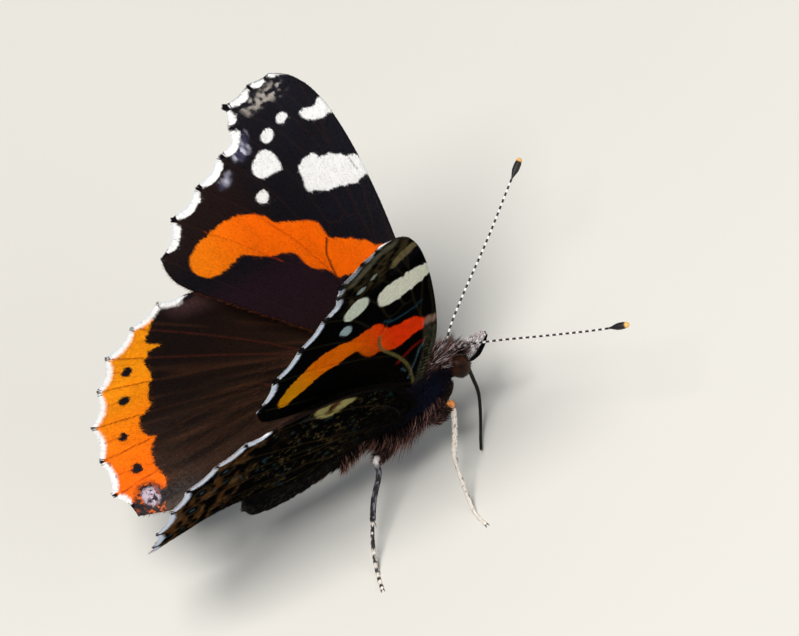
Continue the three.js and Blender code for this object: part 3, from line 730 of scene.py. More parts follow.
def paint_forewing_under(painter):
    u, v = painter.flat
    painter.paint(1, UNDER_BLACK)
    mottle = noise(u / 0.9, v / 0.5, 31)
    fine = noise(painter.lane / 0.2, painter.reach / 0.5, 33)
    apex = smoothstep(u, 22.5, 25.5) * smoothstep(v, -3.2, -0.5)
    painter.paint(apex * smoothstep(mottle * 0.5 + fine * 0.5, 0.3, 0.8), srgb(70, 60, 40))
    painter.stroke([(28.2, -0.2), (29.0, 1.6), (29.5, 2.9), (29.0, 4.0)], 1.0, srgb(120, 118, 98), 0.4, 0.6)
    painter.area([(22.4, 2.6), (24.0, 2.9), (24.2, 4.4), (23.6, 6.2), (22.6, 6.2), (22.9, 4.2)], BLACK, 0.3)
    painter.area([(24.3, 2.8), (25.6, 3.2), (26.2, 4.4), (25.7, 6.2), (24.6, 6.2), (24.4, 4.2)],
                 srgb(126, 114, 80), 0.25)
    painter.veins(None, 0.16, srgb(62, 54, 36), 0.3)
    red = mix(srgb(246, 62, 14), srgb(240, 116, 8), smoothstep(-v, -1, 4))
    red = mix(red, srgb(222, 150, 14), smoothstep(-v, 5, 9.5))
    painter.area(UNDER_BAND, shaded(red, mottle), 0.1)
    painter.area([(9.6, 3.1), (8.6, 4.4), (7.4, 4.1), (8.2, 2.8)], srgb(150, 118, 104), 0.35)
    painter.stroke([(14.2, 0.3), (12.9, -0.8), (11.0, -1.2)], 0.2, srgb(150, 96, 60), 0.08, 0.7)
    painter.area(UNDER_BAR, srgb(244, 244, 228), 0.1)
    painter.spot((25.9, 1.4), (0.6, 0.7), srgb(150, 160, 152), clean=True)
    painter.spot((25.3, 0.0), (0.8, 0.9), srgb(160, 174, 170), clean=True)
    painter.area(UNDER_SPOT, srgb(226, 234, 218), 0.1, clean=True)
    painter.area(UNDER_BLUE_SPOT, srgb(170, 192, 198), 0.1, clean=True)
    painter.stroke([(15.3, 0.4), (14.1, 0.9), (13.4, 2.1), (13.1, 3.0), (13.4, 3.7)], 0.3,
                   srgb(50, 84, 104), 0.15, 0.5)
    cell_blue = srgb(92, 126, 140)
    painter.stroke([(1.6, -0.4), (2.9, 0.4), (3.8, 1.0), (4.8, 1.5), (5.9, 2.4)], 0.18, cell_blue, 0.1, 0.8)
    painter.stroke([(3.2, -0.3), (4.2, -0.45)], 0.18, cell_blue, 0.1, 0.8)
    painter.stroke([(5.8, -0.4), (6.2, 1.2), (6.0, 2.2)], 0.5, srgb(140, 30, 14), 0.2, 0.8)
    painter.veins(["cubitus"], 0.26, srgb(116, 108, 62), 0.8)
    stripe = np.sin(2 * math.pi * u / 0.42) * 0.5 + 0.5
    costal = smoothstep(v - np.interp(u, [0, 4, 9, 16], [0.9, 3.1, 4.4, 5.4]), -1.5, -1.2)
    painter.paint(0.55 * costal * smoothstep(-u, -9, -7) * smoothstep(stripe, 0.55, 0.8), srgb(120, 122, 96))
    inner = smoothstep(-v, 0.5, 2) * smoothstep(-u, -16, -9)
    painter.paint(0.4 * inner, srgb(26, 20, 16))
    painter.paint(1 - smoothstep(painter.from_breaks(-1), 0, 0.2), UNDER_BLACK)
    # The margin's white on this under face is painted shade: bluer and dimmer
    painter.margin_white(-1, SHADED_BLUISH_WHITE * apex_shade(v)[:, None])


COSTAL_PATCH = [(11.9, -4.3), (13.1, -4.9), (14.2, -5.0), (14.8, -4.6), (14.2, -3.5), (13.2, -2.1),
                (12.3, -1.5), (11.8, -2.1), (12.0, -3.3)]


def paint_hindwing_under(painter):
    u, v = painter.flat
    painter.paint(1, UNDER_BLACK)
    coarse = noise(u / 1.5, v / 1.5, 41)
    marble = noise(painter.lane / 0.7, painter.reach / 0.5, 43)
    fine = noise(painter.lane / 0.22, painter.reach / 0.16, 45)
    painter.paint(0.6 * smoothstep(coarse * 0.5 + marble * 0.5, 0.52, 0.75), srgb(36, 27, 18))
    painter.paint(0.6 * smoothstep(marble * 0.4 + fine * 0.6, 0.66, 0.78), srgb(88, 76, 46))
    painter.paint(0.35 * smoothstep(noise(u / 0.6, v / 0.45, 49), 0.82, 0.9), srgb(50, 74, 78))
    outer = smoothstep(painter.reach, 19, 23.5)
    painter.paint(0.6 * outer * smoothstep(marble, 0.35, 0.8), srgb(112, 74, 40))
    for centre in ((14.2, -13.3), (12.9, -15.8), (10.6, -17.2), (7.8, -18.7), (5.0, -19.4)):
        painter.spot(centre, (1.6, 1.8), srgb(58, 44, 28), 0.2)
        painter.spot(centre, (1.15, 1.3), srgb(10, 9, 10), 0.15)
        painter.spot(centre, (0.4, 0.45), srgb(50, 74, 82), 0.12)
    painter.veins(None, 0.16, srgb(66, 54, 34), 0.3)
    # Painted shade: the under face darkened towards the body, over its base
    painter.paint(0.85 * (1 - smoothstep(painter.reach, 6.5, 11)), UNDER_BLACK)
    painter.area(COSTAL_PATCH, srgb(164, 156, 100), 0.2)
    painter.spot((13.3, -3.4), (1.0, 2.0), srgb(84, 56, 32), 0.35, -35)
    painter.spot((13.4, -3.6), (0.4, 0.6), srgb(40, 28, 20), 0.2)
    painter.paint(1 - smoothstep(painter.from_breaks(-1), 0, 0.25), UNDER_BLACK)
    # The margin's white on this under face is painted shade: bluer and dimmer
    painter.margin_white(-1, SHADED_BLUISH_WHITE)


PAINTERS = {
    ("forewing", 1): paint_forewing_upper,
    ("forewing", -1): paint_forewing_under,
    ("hindwing", 1): paint_hindwing_upper,
    ("hindwing", -1): paint_hindwing_under,
}
WINGS = {"forewing": FOREWING, "hindwing": HINDWING}


def wing_colours(kind, face, u, v):
    painter = Painter(WINGS[kind], u, v)
    PAINTERS[kind, face](painter)
    return painter.rgb


def wing_map(wing, u, v):
    """Place in the unit square of a wing's flat shape."""
    low_u, high_u, low_v, high_v = wing["map"]
    return np.column_stack([(u - low_u) / (high_u - low_u), (v - low_v) / (high_v - low_v)])


RIM_STEP = 0.3
GRID_STEP = 0.45
GRID_FROM_VEIN = 0.5
POINT_FROM_RIM = 0.12
POINT_GAP = 0.075
VEIN_ROW_STEP = 0.35
VEIN_ROWS = (0, 0.08, -0.08, 0.18, -0.18, 0.32, -0.32)


def flat_wing(wing):
    """Points and triangles of a wing's flat shape, with rows of points beside each vein."""
    rim = wing_rim(wing, RIM_STEP, FRINGE_INSET)
    rows = []
    for line in vein_lines(wing, VEIN_ROW_STEP).values():
        along = unit(np.gradient(line, axis=0))
        rows += [line + turned(along) * offset for offset in VEIN_ROWS]
    rows = np.vstack(rows)
    low = rim.min(axis=0)
    high = rim.max(axis=0)
    grid_u, grid_v = np.meshgrid(np.arange(low[0], high[0], GRID_STEP), np.arange(low[1], high[1], GRID_STEP))
    grid = np.column_stack([(grid_u + 0.5 * GRID_STEP * (np.arange(len(grid_u)) % 2)[:, None]).ravel(),
                            grid_v.ravel()])
    grid = grid[vein_distance(wing, *grid.T) > GRID_FROM_VEIN]
    free = np.vstack([rows, grid])
    free = free[inside_distance(rim, *free.T) > POINT_FROM_RIM]
    cell = np.floor(free / POINT_GAP).astype(int)
    _, kept = np.unique(cell, axis=0, return_index=True)
    free = free[np.sort(kept)]
    points = [Vector(p) for p in np.vstack([rim, free])]
    loop = list(range(len(rim)))
    flat, _, faces, *_ = delaunay_2d_cdt(points, [], [loop], 1, 1e-6, False)
    flat = np.array([tuple(p) for p in flat])
    faces = np.array([tuple(f) for f in faces])
    a, b, c = (flat[faces[:, k]] for k in range(3))
    area = (b - a)[:, 0] * (c - a)[:, 1] - (b - a)[:, 1] * (c - a)[:, 0]
    faces = np.where((area < 0)[:, None], faces[:, ::-1], faces)
    centre = (a + b + c) / 3
    return flat, faces[inside_distance(rim, *centre.T) > 0]


MEMBRANE_SHADE = 0.8


def membrane(kind, side_name, flat, faces, material):
    """A thin closed vane, its upper face in one half of the map and its under face in the other."""
    wing = WINGS[kind]
    u, v = flat.T
    count = len(flat)
    halves = []
    for face, map_start in ((1, 0.01), (-1, 0.51)):
        lift = face * (MEMBRANE_HALF + ridge_height(wing, u, v, face))
        halves.append((
            wing_point(wing, side_name, u, v, lift),
            wing_colours(kind, face, u, v) * MEMBRANE_SHADE,
            wing_map(wing, u, v) * (1, 0.48) + (0, map_start),
        ))
    points, colours, uv = map(np.vstack, zip(*halves))
    a, b = np.vstack([faces[:, [0, 1]], faces[:, [1, 2]], faces[:, [2, 0]]]).T
    on_rim = ~np.isin(a * count + b, b * count + a)
    a, b = a[on_rim], b[on_rim]
    wall = np.vstack([np.column_stack([b, a, a + count]), np.column_stack([b, a + count, b + count])])
    skin = np.vstack([faces, faces[:, ::-1] + count, wall])
    if SIDES[side_name] > 0:
        skin = skin[:, ::-1]
    node = f"{kind}_{side_name}"
    piece = mesh_piece(f"{node}_membrane", points, skin, material, colours, uv)
    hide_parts(node)


def scale_roots(wing, seed):
    """Roots of the scales, in staggered rows across the wing's flow, and the room round each."""
    random = np.random.default_rng(seed)
    origin = np.array(wing["flow"])
    rim = wing_rim(wing, RIM_CHECK_STEP, FRINGE_INSET)
    reach = np.hypot(*(rim - origin).T)
    roots = []
    for row, radius in enumerate(np.arange(reach.min(), reach.max(), SCALE_ROW)):
        step = SCALE_SPACING / radius
        angle = np.arange(-math.pi, math.pi, step) + step / 2 * (row % 2)
        roots.append(origin + radius * np.column_stack([np.cos(angle), np.sin(angle)]))
    roots = np.vstack(roots)
    roots = roots[np.all((roots > rim.min(axis=0)) & (roots < rim.max(axis=0)), axis=1)]
    roots = roots + random.normal(0, 0.018, roots.shape)
    room = inside_distance(rim, *roots.T)
    return roots[room > 0.03], room[room > 0.03]


def wing_plates(name, kind, side_name, faces, roots, flow, length, width, corners, form, colours, material):
    """Small closed plates on a wing, each on its upper (1) or under (-1) face. A corner is a share
    of the length along the flow, a share of the width across it, and a height off the membrane."""
    wing = WINGS[kind]
    across = turned(flow)
    points = []
    for along, over, height in corners:
        flat = roots + flow * (length * along)[:, None] + across * (width * over)[:, None]
        points.append(wing_point(wing, side_name, *flat.T, height))
    size = len(corners)
    form = np.array(form)
    turned_over = (SIDES[side_name] * faces > 0)[:, None, None]
    forms = np.where(turned_over, form[:, ::-1], form) + size * np.arange(len(roots))[:, None, None]
    piece = mesh_piece(
        name, np.stack(points, axis=1).reshape(-1, 3), forms.reshape(-1, 3), material,
        np.stack(colours, axis=1).reshape(-1, 3), patch_uv(wing_map(wing, *roots.T), size), smooth=False,
    )


def scale_coat(kind, side_name, face, roots, room, material):
    """Overlapping closed plates, each with a keel at its root, all of one wing face. They are
    shorter beside the rim, by the room they have there."""
    wing = WINGS[kind]
    random = np.random.default_rng(SEEDS["scales"] + face)
    count = len(roots)
    flow = unit(roots - np.array(wing["flow"]))
    yaw = random.normal(0, 0.1, (count, 1))
    flow = flow * np.cos(yaw) + turned(flow) * np.sin(yaw)
    length = np.minimum(random.uniform(0.19, 0.25, count), np.maximum(room + 0.02, 0.08))
    width = random.uniform(0.115, 0.155, count)
    base = MEMBRANE_HALF + ridge_height(wing, *roots.T, face)
    tilt = random.normal(0, 0.006, count)
    tip_lift = random.uniform(0.03, 0.045, count)
    corners = [(along, over, face * (base + lift)) for along, over, lift in (
        (-0.1, 0, -0.02),
        (0, -0.35, 0.012 - tilt / 2),
        (1, -0.5, tip_lift - tilt),
        (1, 0.5, tip_lift + tilt),
        (0, 0.35, 0.012 + tilt / 2),
    )]
    form = [(1, 2, 3), (1, 3, 4), (0, 2, 1), (0, 3, 2), (0, 4, 3), (0, 1, 4)]
    colour = wing_colours(kind, face, *roots.T) * random.lognormal(0, 0.07, count)[:, None]
    face_name = "upper" if face > 0 else "under"
    wing_plates(f"{kind}_{side_name}_{face_name}_scales", kind, side_name, np.full(count, face), roots, flow,
                length, width, corners, form, [colour] * len(corners), material)


FRINGE_ROOT = 0.28
FRINGE_STEP = 0.05
FRINGE_LAYERS = 3


FRINGE_CORNERS = [(-0.1, 0, 0), (0.1, -0.5, 1), (0.5, -0.5, 0.8), (1, -0.3, 0.5),
                  (1, 0.3, 0.5), (0.5, 0.5, 0.8), (0.1, 0.5, 1)]


def wing_fringe(kind, side_name, material):
    """Flat hair scales along the outer margin, white between the vein tips and black at them."""
    wing = WINGS[kind]
    random = np.random.default_rng(SEEDS["fringe"])
    margin, outward = margin_line(wing, FRINGE_STEP, FRINGE_INSET)
    inset = np.hypot(*(margin_line(wing, FRINGE_STEP, 0)[0] - margin).T)
    layers = []
    for face in (1, -1) * FRINGE_LAYERS:
        fullness = np.sqrt(smoothstep(break_distance(wing, face, *margin.T), -0.1, 1.0))
        back = 0.08 + random.uniform(0.25, 1, len(margin)) * FRINGE_ROOT * fullness
        layers.append((
            margin - outward * back[:, None],
            unit(outward + random.normal(0, 0.12, outward.shape)),
            (back + inset) * random.uniform(0.75, 1.04, len(margin)),
            face * (MEMBRANE_HALF + random.uniform(0.03, 0.08, len(margin))),
        ))
    roots, flow, length, lift = map(np.concatenate, zip(*layers))
    count = len(roots)
    width = random.uniform(0.04, 0.07, count)
    corners = [(along, over, lift * share) for along, over, share in FRINGE_CORNERS]
    last = len(corners) - 1
    form = [(1, 2, 5), (1, 5, 6), (2, 3, 4), (2, 4, 5)] + [(0, i % last + 1, i) for i in range(1, last + 1)]
    upper = lift > 0
    ends = (roots + flow * inset.mean()).T
    from_break = np.where(upper, break_distance(wing, 1, *ends), break_distance(wing, -1, *ends))
    dark = 1 - smoothstep(from_break, -0.15, 0.25)
    shade = apex_shade(roots[:, 1]) if kind == "forewing" else np.ones(count)
    # The under layers' white is painted shade: bluer and dimmer than the upper white
    white = np.where(upper[:, None], WHITE, SHADED_BLUISH_WHITE * shade[:, None])
    tip = np.where((random.random(count) < dark)[:, None], BLACK, white)
    tip = tip * random.uniform(0.88, 1.0, count)[:, None]
    base = np.where(upper[:, None], *(wing_colours(kind, face, *roots.T) for face in (1, -1)))
    wing_plates(f"{kind}_{side_name}_fringe", kind, side_name, np.sign(lift), roots, flow, length,
                width, corners, form, [base, base, tip, tip, tip, tip, base], material)


FIELD_HAIRS = 2600
FIELDS = {"hindwing": (0.4, 6.5, -16, 1.6), "forewing": (0.4, 6, -3.5, 2.5)}
FRONT_HAIR_ROWS = 3


def wing_hairs(kind, side_name, material):
    """Short hairs along the inner edge, long ones which lie on the inner field by the body, and
    dark ones along the hindwing's front edge. Each group has its colours on the two faces."""
    wing = WINGS[kind]
    random = np.random.default_rng(SEEDS["wing_hairs"])
    edge = smooth_line(wing["inner"], HAIR_STEP)[20:]
    along = unit(np.gradient(edge, axis=0))
    outward = turned(along)
    count = len(edge)
    groups = [(
        edge - outward * random.uniform(0.02, 0.15, (count, 1)),
        unit(outward * random.uniform(0.3, 1.0, (count, 1)) - along),
        random.choice([-1, 1], count),
        random.uniform(0.2, 0.5, count),
        srgb(92, 50, 28), srgb(40, 28, 20),
    )]
    low_u, high_u, low_v, high_v = FIELDS[kind]
    place = np.column_stack([random.uniform(low_u, high_u, FIELD_HAIRS),
                             random.uniform(low_v, high_v, FIELD_HAIRS)])
    kept = random.random(FIELD_HAIRS) < 1 - 0.7 * (place[:, 0] - low_u) / (high_u - low_u)
    rim = wing_rim(wing, RIM_CHECK_STEP, FRINGE_INSET)
    place = place[kept & (inside_distance(rim, *place.T) > 0.3)]
    groups.append((
        place,
        unit(unit(place - np.array(wing["flow"])) + random.normal(0, 0.12, place.shape)),
        random.choice([-1, -1, 1], len(place)),
        random.uniform(0.6, 1.2, len(place)),
        srgb(84, 58, 42), srgb(24, 20, 17),
    ))
    if kind == "hindwing":
        front = smooth_line(wing["costa"], HAIR_STEP)[100:]
        forward = np.tile(unit(np.gradient(front, axis=0)), (FRONT_HAIR_ROWS, 1))
        front = np.tile(front, (FRONT_HAIR_ROWS, 1))
        outside = turned(forward)
        count = len(front)
        near_corner = 0.9 + 0.4 * smoothstep(front[:, 0], 11, 14.5)
        past_corner = 1 - 0.75 * smoothstep(front[:, 0], 15.3, 16)
        groups.append((
            front - outside * random.uniform(0.03, 0.3, (count, 1)),
            unit(outside + forward * random.uniform(0.1, 0.7, (count, 1))),
            random.choice([-1, 1], count),
            random.uniform(0.6, 1, count) * near_corner * past_corner,
            srgb(16, 13, 12), srgb(16, 13, 12),
        ))
    roots, lies, faces, lengths = (np.concatenate(part) for part in list(zip(*groups))[:4])
    pale = np.vstack([np.where(face[:, None] > 0, upper, under) for _, _, face, _, upper, under in groups])
    foot = wing_point(wing, side_name, *roots.T, faces * MEMBRANE_HALF)
    lie = unit(wing_point(wing, side_name, *(roots + lies * 0.3).T, faces * MEMBRANE_HALF) - foot)
    normal = unit(wing_point(wing, side_name, *roots.T, faces * 1.0) - foot)
    pale = pale * random.lognormal(0, 0.3, len(roots))[:, None]
    piece = tuft_piece(
        f"{kind}_{side_name}_hairs", foot, normal, lie, random.uniform(0.1, 0.35, len(roots)), lengths, 0.03,
        pale * 0.5, wing_map(wing, *roots.T), material, 0.7, np.clip(pale, 0, 1),
    )


def build_wings():
    membrane_look = tint_material("wing_membrane", 0.6, 9000, 0.12, 0.4, 6000, specular=0.03)
    scale_looks = {
        1: tint_material("wing_scales_upper", 0.5, 12000, 0.1, specular=0.25),
        -1: tint_material("wing_scales_under", 0.65, 12000, 0.1, specular=0),
    }
    fringe_look = tint_material("wing_fringe", 0.7, 12000, 0.1, specular=0.03)
    for kind, wing in WINGS.items():
        flat, faces = flat_wing(wing)
        scales = {face: scale_roots(wing, SEEDS["scale_roots"] + face) for face in (1, -1)}
        for side_name in SIDES:
            membrane(kind, side_name, flat, faces, membrane_look)
            for face in (1, -1):
                scale_coat(kind, side_name, face, *scales[face], scale_looks[face])
            wing_fringe(kind, side_name, fringe_look)
            wing_hairs(kind, side_name, fringe_look)


# Tubes and limbs
def tube_mesh(rings):
    """Points, triangles and corner map of a tube over rings, closed by a pole at each end."""
    rows, around = rings.shape[:2]
    first = np.arange(rows - 1)[:, None] * around
    a = (first + np.arange(around)).ravel()
    b = (first + (np.arange(around) + 1) % around).ravel()
    faces = [np.column_stack([a, b, b + around]), np.column_stack([a, b + around, a + around])]
    column = np.tile(np.arange(around), rows - 1) / around
    row = np.repeat(np.arange(rows - 1), around) / (rows - 1)
    right = column + 1 / around
    above = row + 1 / (rows - 1)
    maps = [
        np.stack([np.column_stack(c) for c in ((row, column), (row, right), (above, right))], axis=1),
        np.stack([np.column_stack(c) for c in ((row, column), (above, right), (above, column))], axis=1),
    ]
    i = np.arange(around)
    j = (i + 1) % around
    pole = rows * around
    last = (rows - 1) * around
    faces.append(np.column_stack([np.full(around, pole), j, i]))
    faces.append(np.column_stack([np.full(around, pole + 1), last + i, last + j]))
    for place in (0, 1):
        corner = np.column_stack([np.full(around, place), (i + 0.5) / around])
        maps.append(np.stack([corner] * 3, axis=1))
    points = np.vstack([rings.reshape(-1, 3), rings[0].mean(axis=0), rings[-1].mean(axis=0)])
    return points, np.vstack(faces), np.vstack(maps).reshape(-1, 2)


def tube_piece(name, rings, tint, material):
    """A closed tube over rings of points, with a tint for each point or one for all."""
    points, faces, corner_map = tube_mesh(rings)
    tint = np.broadcast_to(tint, (rings.shape[0] * rings.shape[1], 3))
    return mesh_piece(name, points, faces, material, np.vstack([tint, tint[:1], tint[-1:]]),
                      corner_uv=corner_map)


def round_angles(around, rows):
    """Even angles round a tube, for each of its rows."""
    return np.tile(np.arange(around) * 2 * math.pi / around, rows)


class Limb:
    """A round limb along a bent line, its radius a function of the distance from its root."""

    def __init__(self, points, step, radius, floor=None):
        self.line = bent_line(points, step)
        self.along = distances(self.line)
        self.length = self.along[-1]
        self.radius = radius
        self.floor = floor
        self.tangent = unit(np.gradient(self.line, axis=0))
        normal = np.cross(self.tangent[0], (0.1, 0.3, 1.0))
        normals = []
        for tangent in self.tangent:
            normal = unit(normal - tangent * np.dot(normal, tangent))
            normals.append(normal)
        self.normal = np.array(normals)

    def stop(self, point):
        """How far along the limb the nearest place to a point is."""
        return self.along[np.argmin(np.linalg.norm(self.line - point, axis=1))]

    def surface(self, place, angle):
        """Points on the skin, with the outward and forward directions there."""
        centre, tangent, normal = (
            read_line(place, self.along, values) for values in (self.line, self.tangent, self.normal))
        tangent = unit(tangent)
        normal = unit(normal)
        other = np.cross(tangent, normal)
        out = normal * np.cos(angle)[:, None] + other * np.sin(angle)[:, None]
        from_end = np.minimum(place, self.length - place)
        radius = self.radius(place)
        rounding = np.sqrt(np.clip(1 - (1 - np.minimum(from_end / (radius + 1e-6), 1)) ** 2, 0.03, 1))
        points = centre + out * (radius * rounding)[:, None]
        if self.floor is not None:
            points[:, 2] = np.maximum(points[:, 2], self.floor)
        return points, out, tangent

    def piece(self, name, material, colour, around=14, step=0.06):
        """The skin, its colour a function of the place, the angle and the outward direction."""
        rows = round(self.length / step) + 1
        place = np.repeat(np.linspace(0, self.length, rows), around)
        angle = round_angles(around, rows)
        points, out, _ = self.surface(place, angle)
        return tube_piece(name, points.reshape(rows, around, 3), colour(place, angle, out), material)

    def scatter(self, random, count, low, high):
        """Random places between two distances from the root, at random angles."""
        return random.uniform(low, high, count), random.uniform(0, 2 * math.pi, count)

    def tufts(self, name, material, places, angles, rise, length, width, colours, droop=0.5,
              tip_colours=None):
        roots, out, tangent = self.surface(places, angles)
        uv = np.column_stack([places / self.length, angles / (2 * math.pi) % 1])
        return tuft_piece(name, roots, out, tangent, rise, length, width, colours, uv, material,
                          droop, tip_colours)


# Body: one skin from the tip of the abdomen to the face, inside the solids by the coat's depth
THORAX_HALF = (2.3, 2.75)
THORAX_MIDDLE = 0.1
THORAX_REACH = 4.75
ABDOMEN_FRONT = THORAX_REAR - 0.3
ABDOMEN_LENGTH = 10.8
ABDOMEN_HALF = (1.75, 1.85)
ABDOMEN_SEGMENTS = 7
SKIN_REAR = ABDOMEN_FRONT - ABDOMEN_LENGTH + 0.1
SKIN_FRONT = HEAD_CENTRE[0] + HEAD_RADII[0] - 0.15
THORAX_COAT = 0.4
ABDOMEN_COAT = 0.14
HEAD_COAT = 0.2
WAIST = (1.15, 1.25)
NECK = (0.95, 1.15)


def skin_size(x):
    """Half width, half height and middle height of the skin at each x."""
    fullness = np.sqrt(np.clip(1 - np.abs((x - THORAX_MIDDLE) / THORAX_REACH) ** 2.7, 0, 1))
    t = np.clip((ABDOMEN_FRONT - x) / ABDOMEN_LENGTH, 0, 1)
    swell = 0.84 + 0.16 * smoothstep(t, 0, 0.22)
    belly = np.where(x < ABDOMEN_FRONT, swell * (1 - t ** 2.8) ** 0.6 + 0.22 * t, 0)
    segment = t * ABDOMEN_SEGMENTS % 1
    belly = belly * (1 + 0.03 * segment - 0.05 * np.exp(-(segment / 0.09) ** 2))
    skull = np.sqrt(np.clip(1 - ((x - HEAD_CENTRE[0]) / HEAD_RADII[0]) ** 2, 0, 1))
    sizes = []
    for k, (thick, wide, skull_half) in enumerate(zip(THORAX_HALF, ABDOMEN_HALF, (0.78, HEAD_RADII[2]))):
        thorax = np.where(x > THORAX_REAR - 0.4, thick * fullness - THORAX_COAT, 0)
        abdomen = wide * belly - ABDOMEN_COAT
        head = skull_half * skull - HEAD_COAT * (k == 1)
        bridge = np.where(np.abs(x - ABDOMEN_FRONT) < 0.9, WAIST[k], 0)
        bridge = np.where((x > 3.6) & (x < 5.3), NECK[k], bridge)
        sizes.append(np.maximum.reduce([thorax, abdomen, head, bridge]))
    level = np.interp(x, [SKIN_REAR, ABDOMEN_FRONT, 0, THORAX_FRONT, HEAD_CENTRE[0]],
                      [-1.5, -0.1, 0, 0.36, HEAD_CENTRE[2]])
    end = np.minimum(x - SKIN_REAR, SKIN_FRONT - x)
    cap = np.sqrt(np.clip(1 - (1 - np.minimum(end / 0.35, 1)) ** 2, 0.02, 1))
    return sizes[0] * cap, sizes[1] * cap, level


SKIN_SAMPLES = 420
SMOOTHED = 9
SKIN_X = np.linspace(SKIN_REAR, SKIN_FRONT, SKIN_SAMPLES)
SKIN_SIZES = [
    np.convolve(np.pad(size, SMOOTHED // 2, mode="edge"), np.ones(SMOOTHED) / SMOOTHED, mode="valid")
    for size in skin_size(SKIN_X)
]


def skin_point(x, angle):
    """A point on the skin at x and an angle round the body, from its left side over its back."""
    wide, high, level = (np.interp(x, SKIN_X, size) for size in SKIN_SIZES)
    return np.column_stack([x, wide * np.cos(angle), level + high * np.sin(angle)])


def skin_frame(x, angle):
    """Point, outward direction, backward direction and round direction on the skin."""
    step = 0.05
    point = skin_point(x, angle)
    ahead = skin_point(np.minimum(x + step, SKIN_FRONT), angle)
    behind = skin_point(np.maximum(x - step, SKIN_REAR), angle)
    back = unit(behind - ahead)
    turn = unit(skin_point(x, angle + step) - skin_point(x, angle - step))
    return point, unit(np.cross(turn, -back)), back, turn


def skin_map(x, angle):
    """Unwrapped from the middle of the belly."""
    return np.column_stack([(x - SKIN_REAR) / (SKIN_FRONT - SKIN_REAR), (angle / (2 * math.pi) + 0.25) % 1])


# The coat's colours at the hairs' roots, then at their tips: the thorax and its front, crown and
# belly, the abdomen and its rings, the head's top and its sides. The last two numbers are how much
# of the ring colour shows on the belly and on the rings.
COAT_COLOURS = [
    ((12, 10, 11), (8, 10, 20), (46, 34, 24), (16, 11, 10), (8, 7, 6), (16, 12, 10), (16, 11, 13),
     (8, 8, 13), 0.8, 0.5),
    ((26, 21, 21), (28, 33, 56), (96, 74, 50), (44, 28, 24), (18, 14, 12), (40, 31, 25), (44, 30, 32),
     (24, 22, 36), 0.6, 0.7),
]


def body_colours(x, angle):
    """The coat's colour at its roots and at its tips."""
    height = np.sin(angle)
    top = smoothstep(height, 0.25, 0.8)
    under = smoothstep(-height, 0.25, 0.75)
    t = np.clip((ABDOMEN_FRONT - x) / ABDOMEN_LENGTH, 0, 1)
    ring = smoothstep(t * ABDOMEN_SEGMENTS % 1, 0.8, 1)
    head = smoothstep(x, 3.4, 4.6)
    shades = []
    for *rgb, belly_share, ring_share in COAT_COLOURS:
        thorax, front, crown, belly, abdomen, ringed, head_top, head_side = (srgb(*c) for c in rgb)
        thorax = mix(thorax, front, smoothstep(x, -2, 3))
        thorax = mix(mix(thorax, crown, smoothstep(height, 0.55, 1)), belly, under)
        abdomen = mix(abdomen, ringed, np.maximum(under * belly_share, ring * ring_share))
        shade = mix(mix(thorax, abdomen, smoothstep(-x, 3.6, 5.2)), head_top, head * top)
        shades.append(mix(shade, head_side, head * (1 - top)))
    return shades


SKIN_MESH = (72, 240)


def body_skin(material):
    around, rows = SKIN_MESH
    x = np.repeat(np.linspace(SKIN_REAR, SKIN_FRONT, rows), around)
    angle = round_angles(around, rows) - math.pi / 2
    rings = skin_point(x, angle).reshape(rows, around, 3)
    piece = tube_piece("body_skin", rings, body_colours(x, angle)[0], material)
    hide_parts("thorax", "abdomen", "head")


def skin_roots(random, low, high, count, angles=(-math.pi, math.pi)):
    """Random roots, even over the skin between two places along the body."""
    x = random.uniform(low, high, count * 3)
    angle = random.uniform(*angles, count * 3)
    wide = np.interp(x, SKIN_X, SKIN_SIZES[0])
    kept = np.flatnonzero(random.random(count * 3) < wide / wide.max())[:count]
    return x[kept], angle[kept]


PINK_WHITE = srgb(240, 226, 230)
PINK_BROWN = srgb(164, 112, 96)
RUSTY = srgb(196, 144, 128)


def body_fur(name, material, low, high, count, length, width, rise, lean=0.35, forward=False,
             angles=(-math.pi, math.pi), fair=0, fair_colours=(RUSTY, PINK_BROWN)):
    """Hairs on a stretch of the body. length, rise and fair are each a number or a function of x and
    angle; fair is the share of the hairs with pale tips in one of two colours."""
    random = np.random.default_rng(SEEDS[name])
    x, angle = skin_roots(random, low, high, count, angles)
    for side in SIDES.values():
        from_eye = (skin_point(x, angle) - HEAD_CENTRE - (0, side * EYE_SPREAD, 0)) / (EYE_RADII + 0.03)
        clear = np.linalg.norm(from_eye, axis=1) > 1
        x, angle = x[clear], angle[clear]
    count = len(x)
    length, rise, fair = (value(x, angle) if callable(value) else value for value in (length, rise, fair))
    point, out, back, turn = skin_frame(x, angle)
    down = turn * -np.sign(np.cos(angle))[:, None]
    lie = (-back if forward else back) + down * (lean * np.abs(np.cos(angle)))[:, None]
    lie = unit(lie + random.normal(0, 0.16, point.shape))
    lie = unit(lie - out * np.sum(lie * out, axis=1, keepdims=True))
    root, tip = body_colours(x, angle)
    pale = (random.random(count) < fair)[:, None]
    fair_tip = np.where(random.random((count, 1)) < 0.55, *fair_colours)
    root = np.where(pale, fair_tip * 0.3, root)
    tip = np.where(pale, fair_tip, tip)
    tone = random.lognormal(0, 0.28, count)[:, None]
    spread = np.exp(random.normal(0, 0.2, count))
    piece = tuft_piece(
        name, point, out, lie, rise + random.normal(0, 0.12, count), length * spread, width, root * tone,
        skin_map(x, angle), material, 0.4, np.clip(tip * tone, 0, 1),
    )


WING_BASE_HAIRS = 420


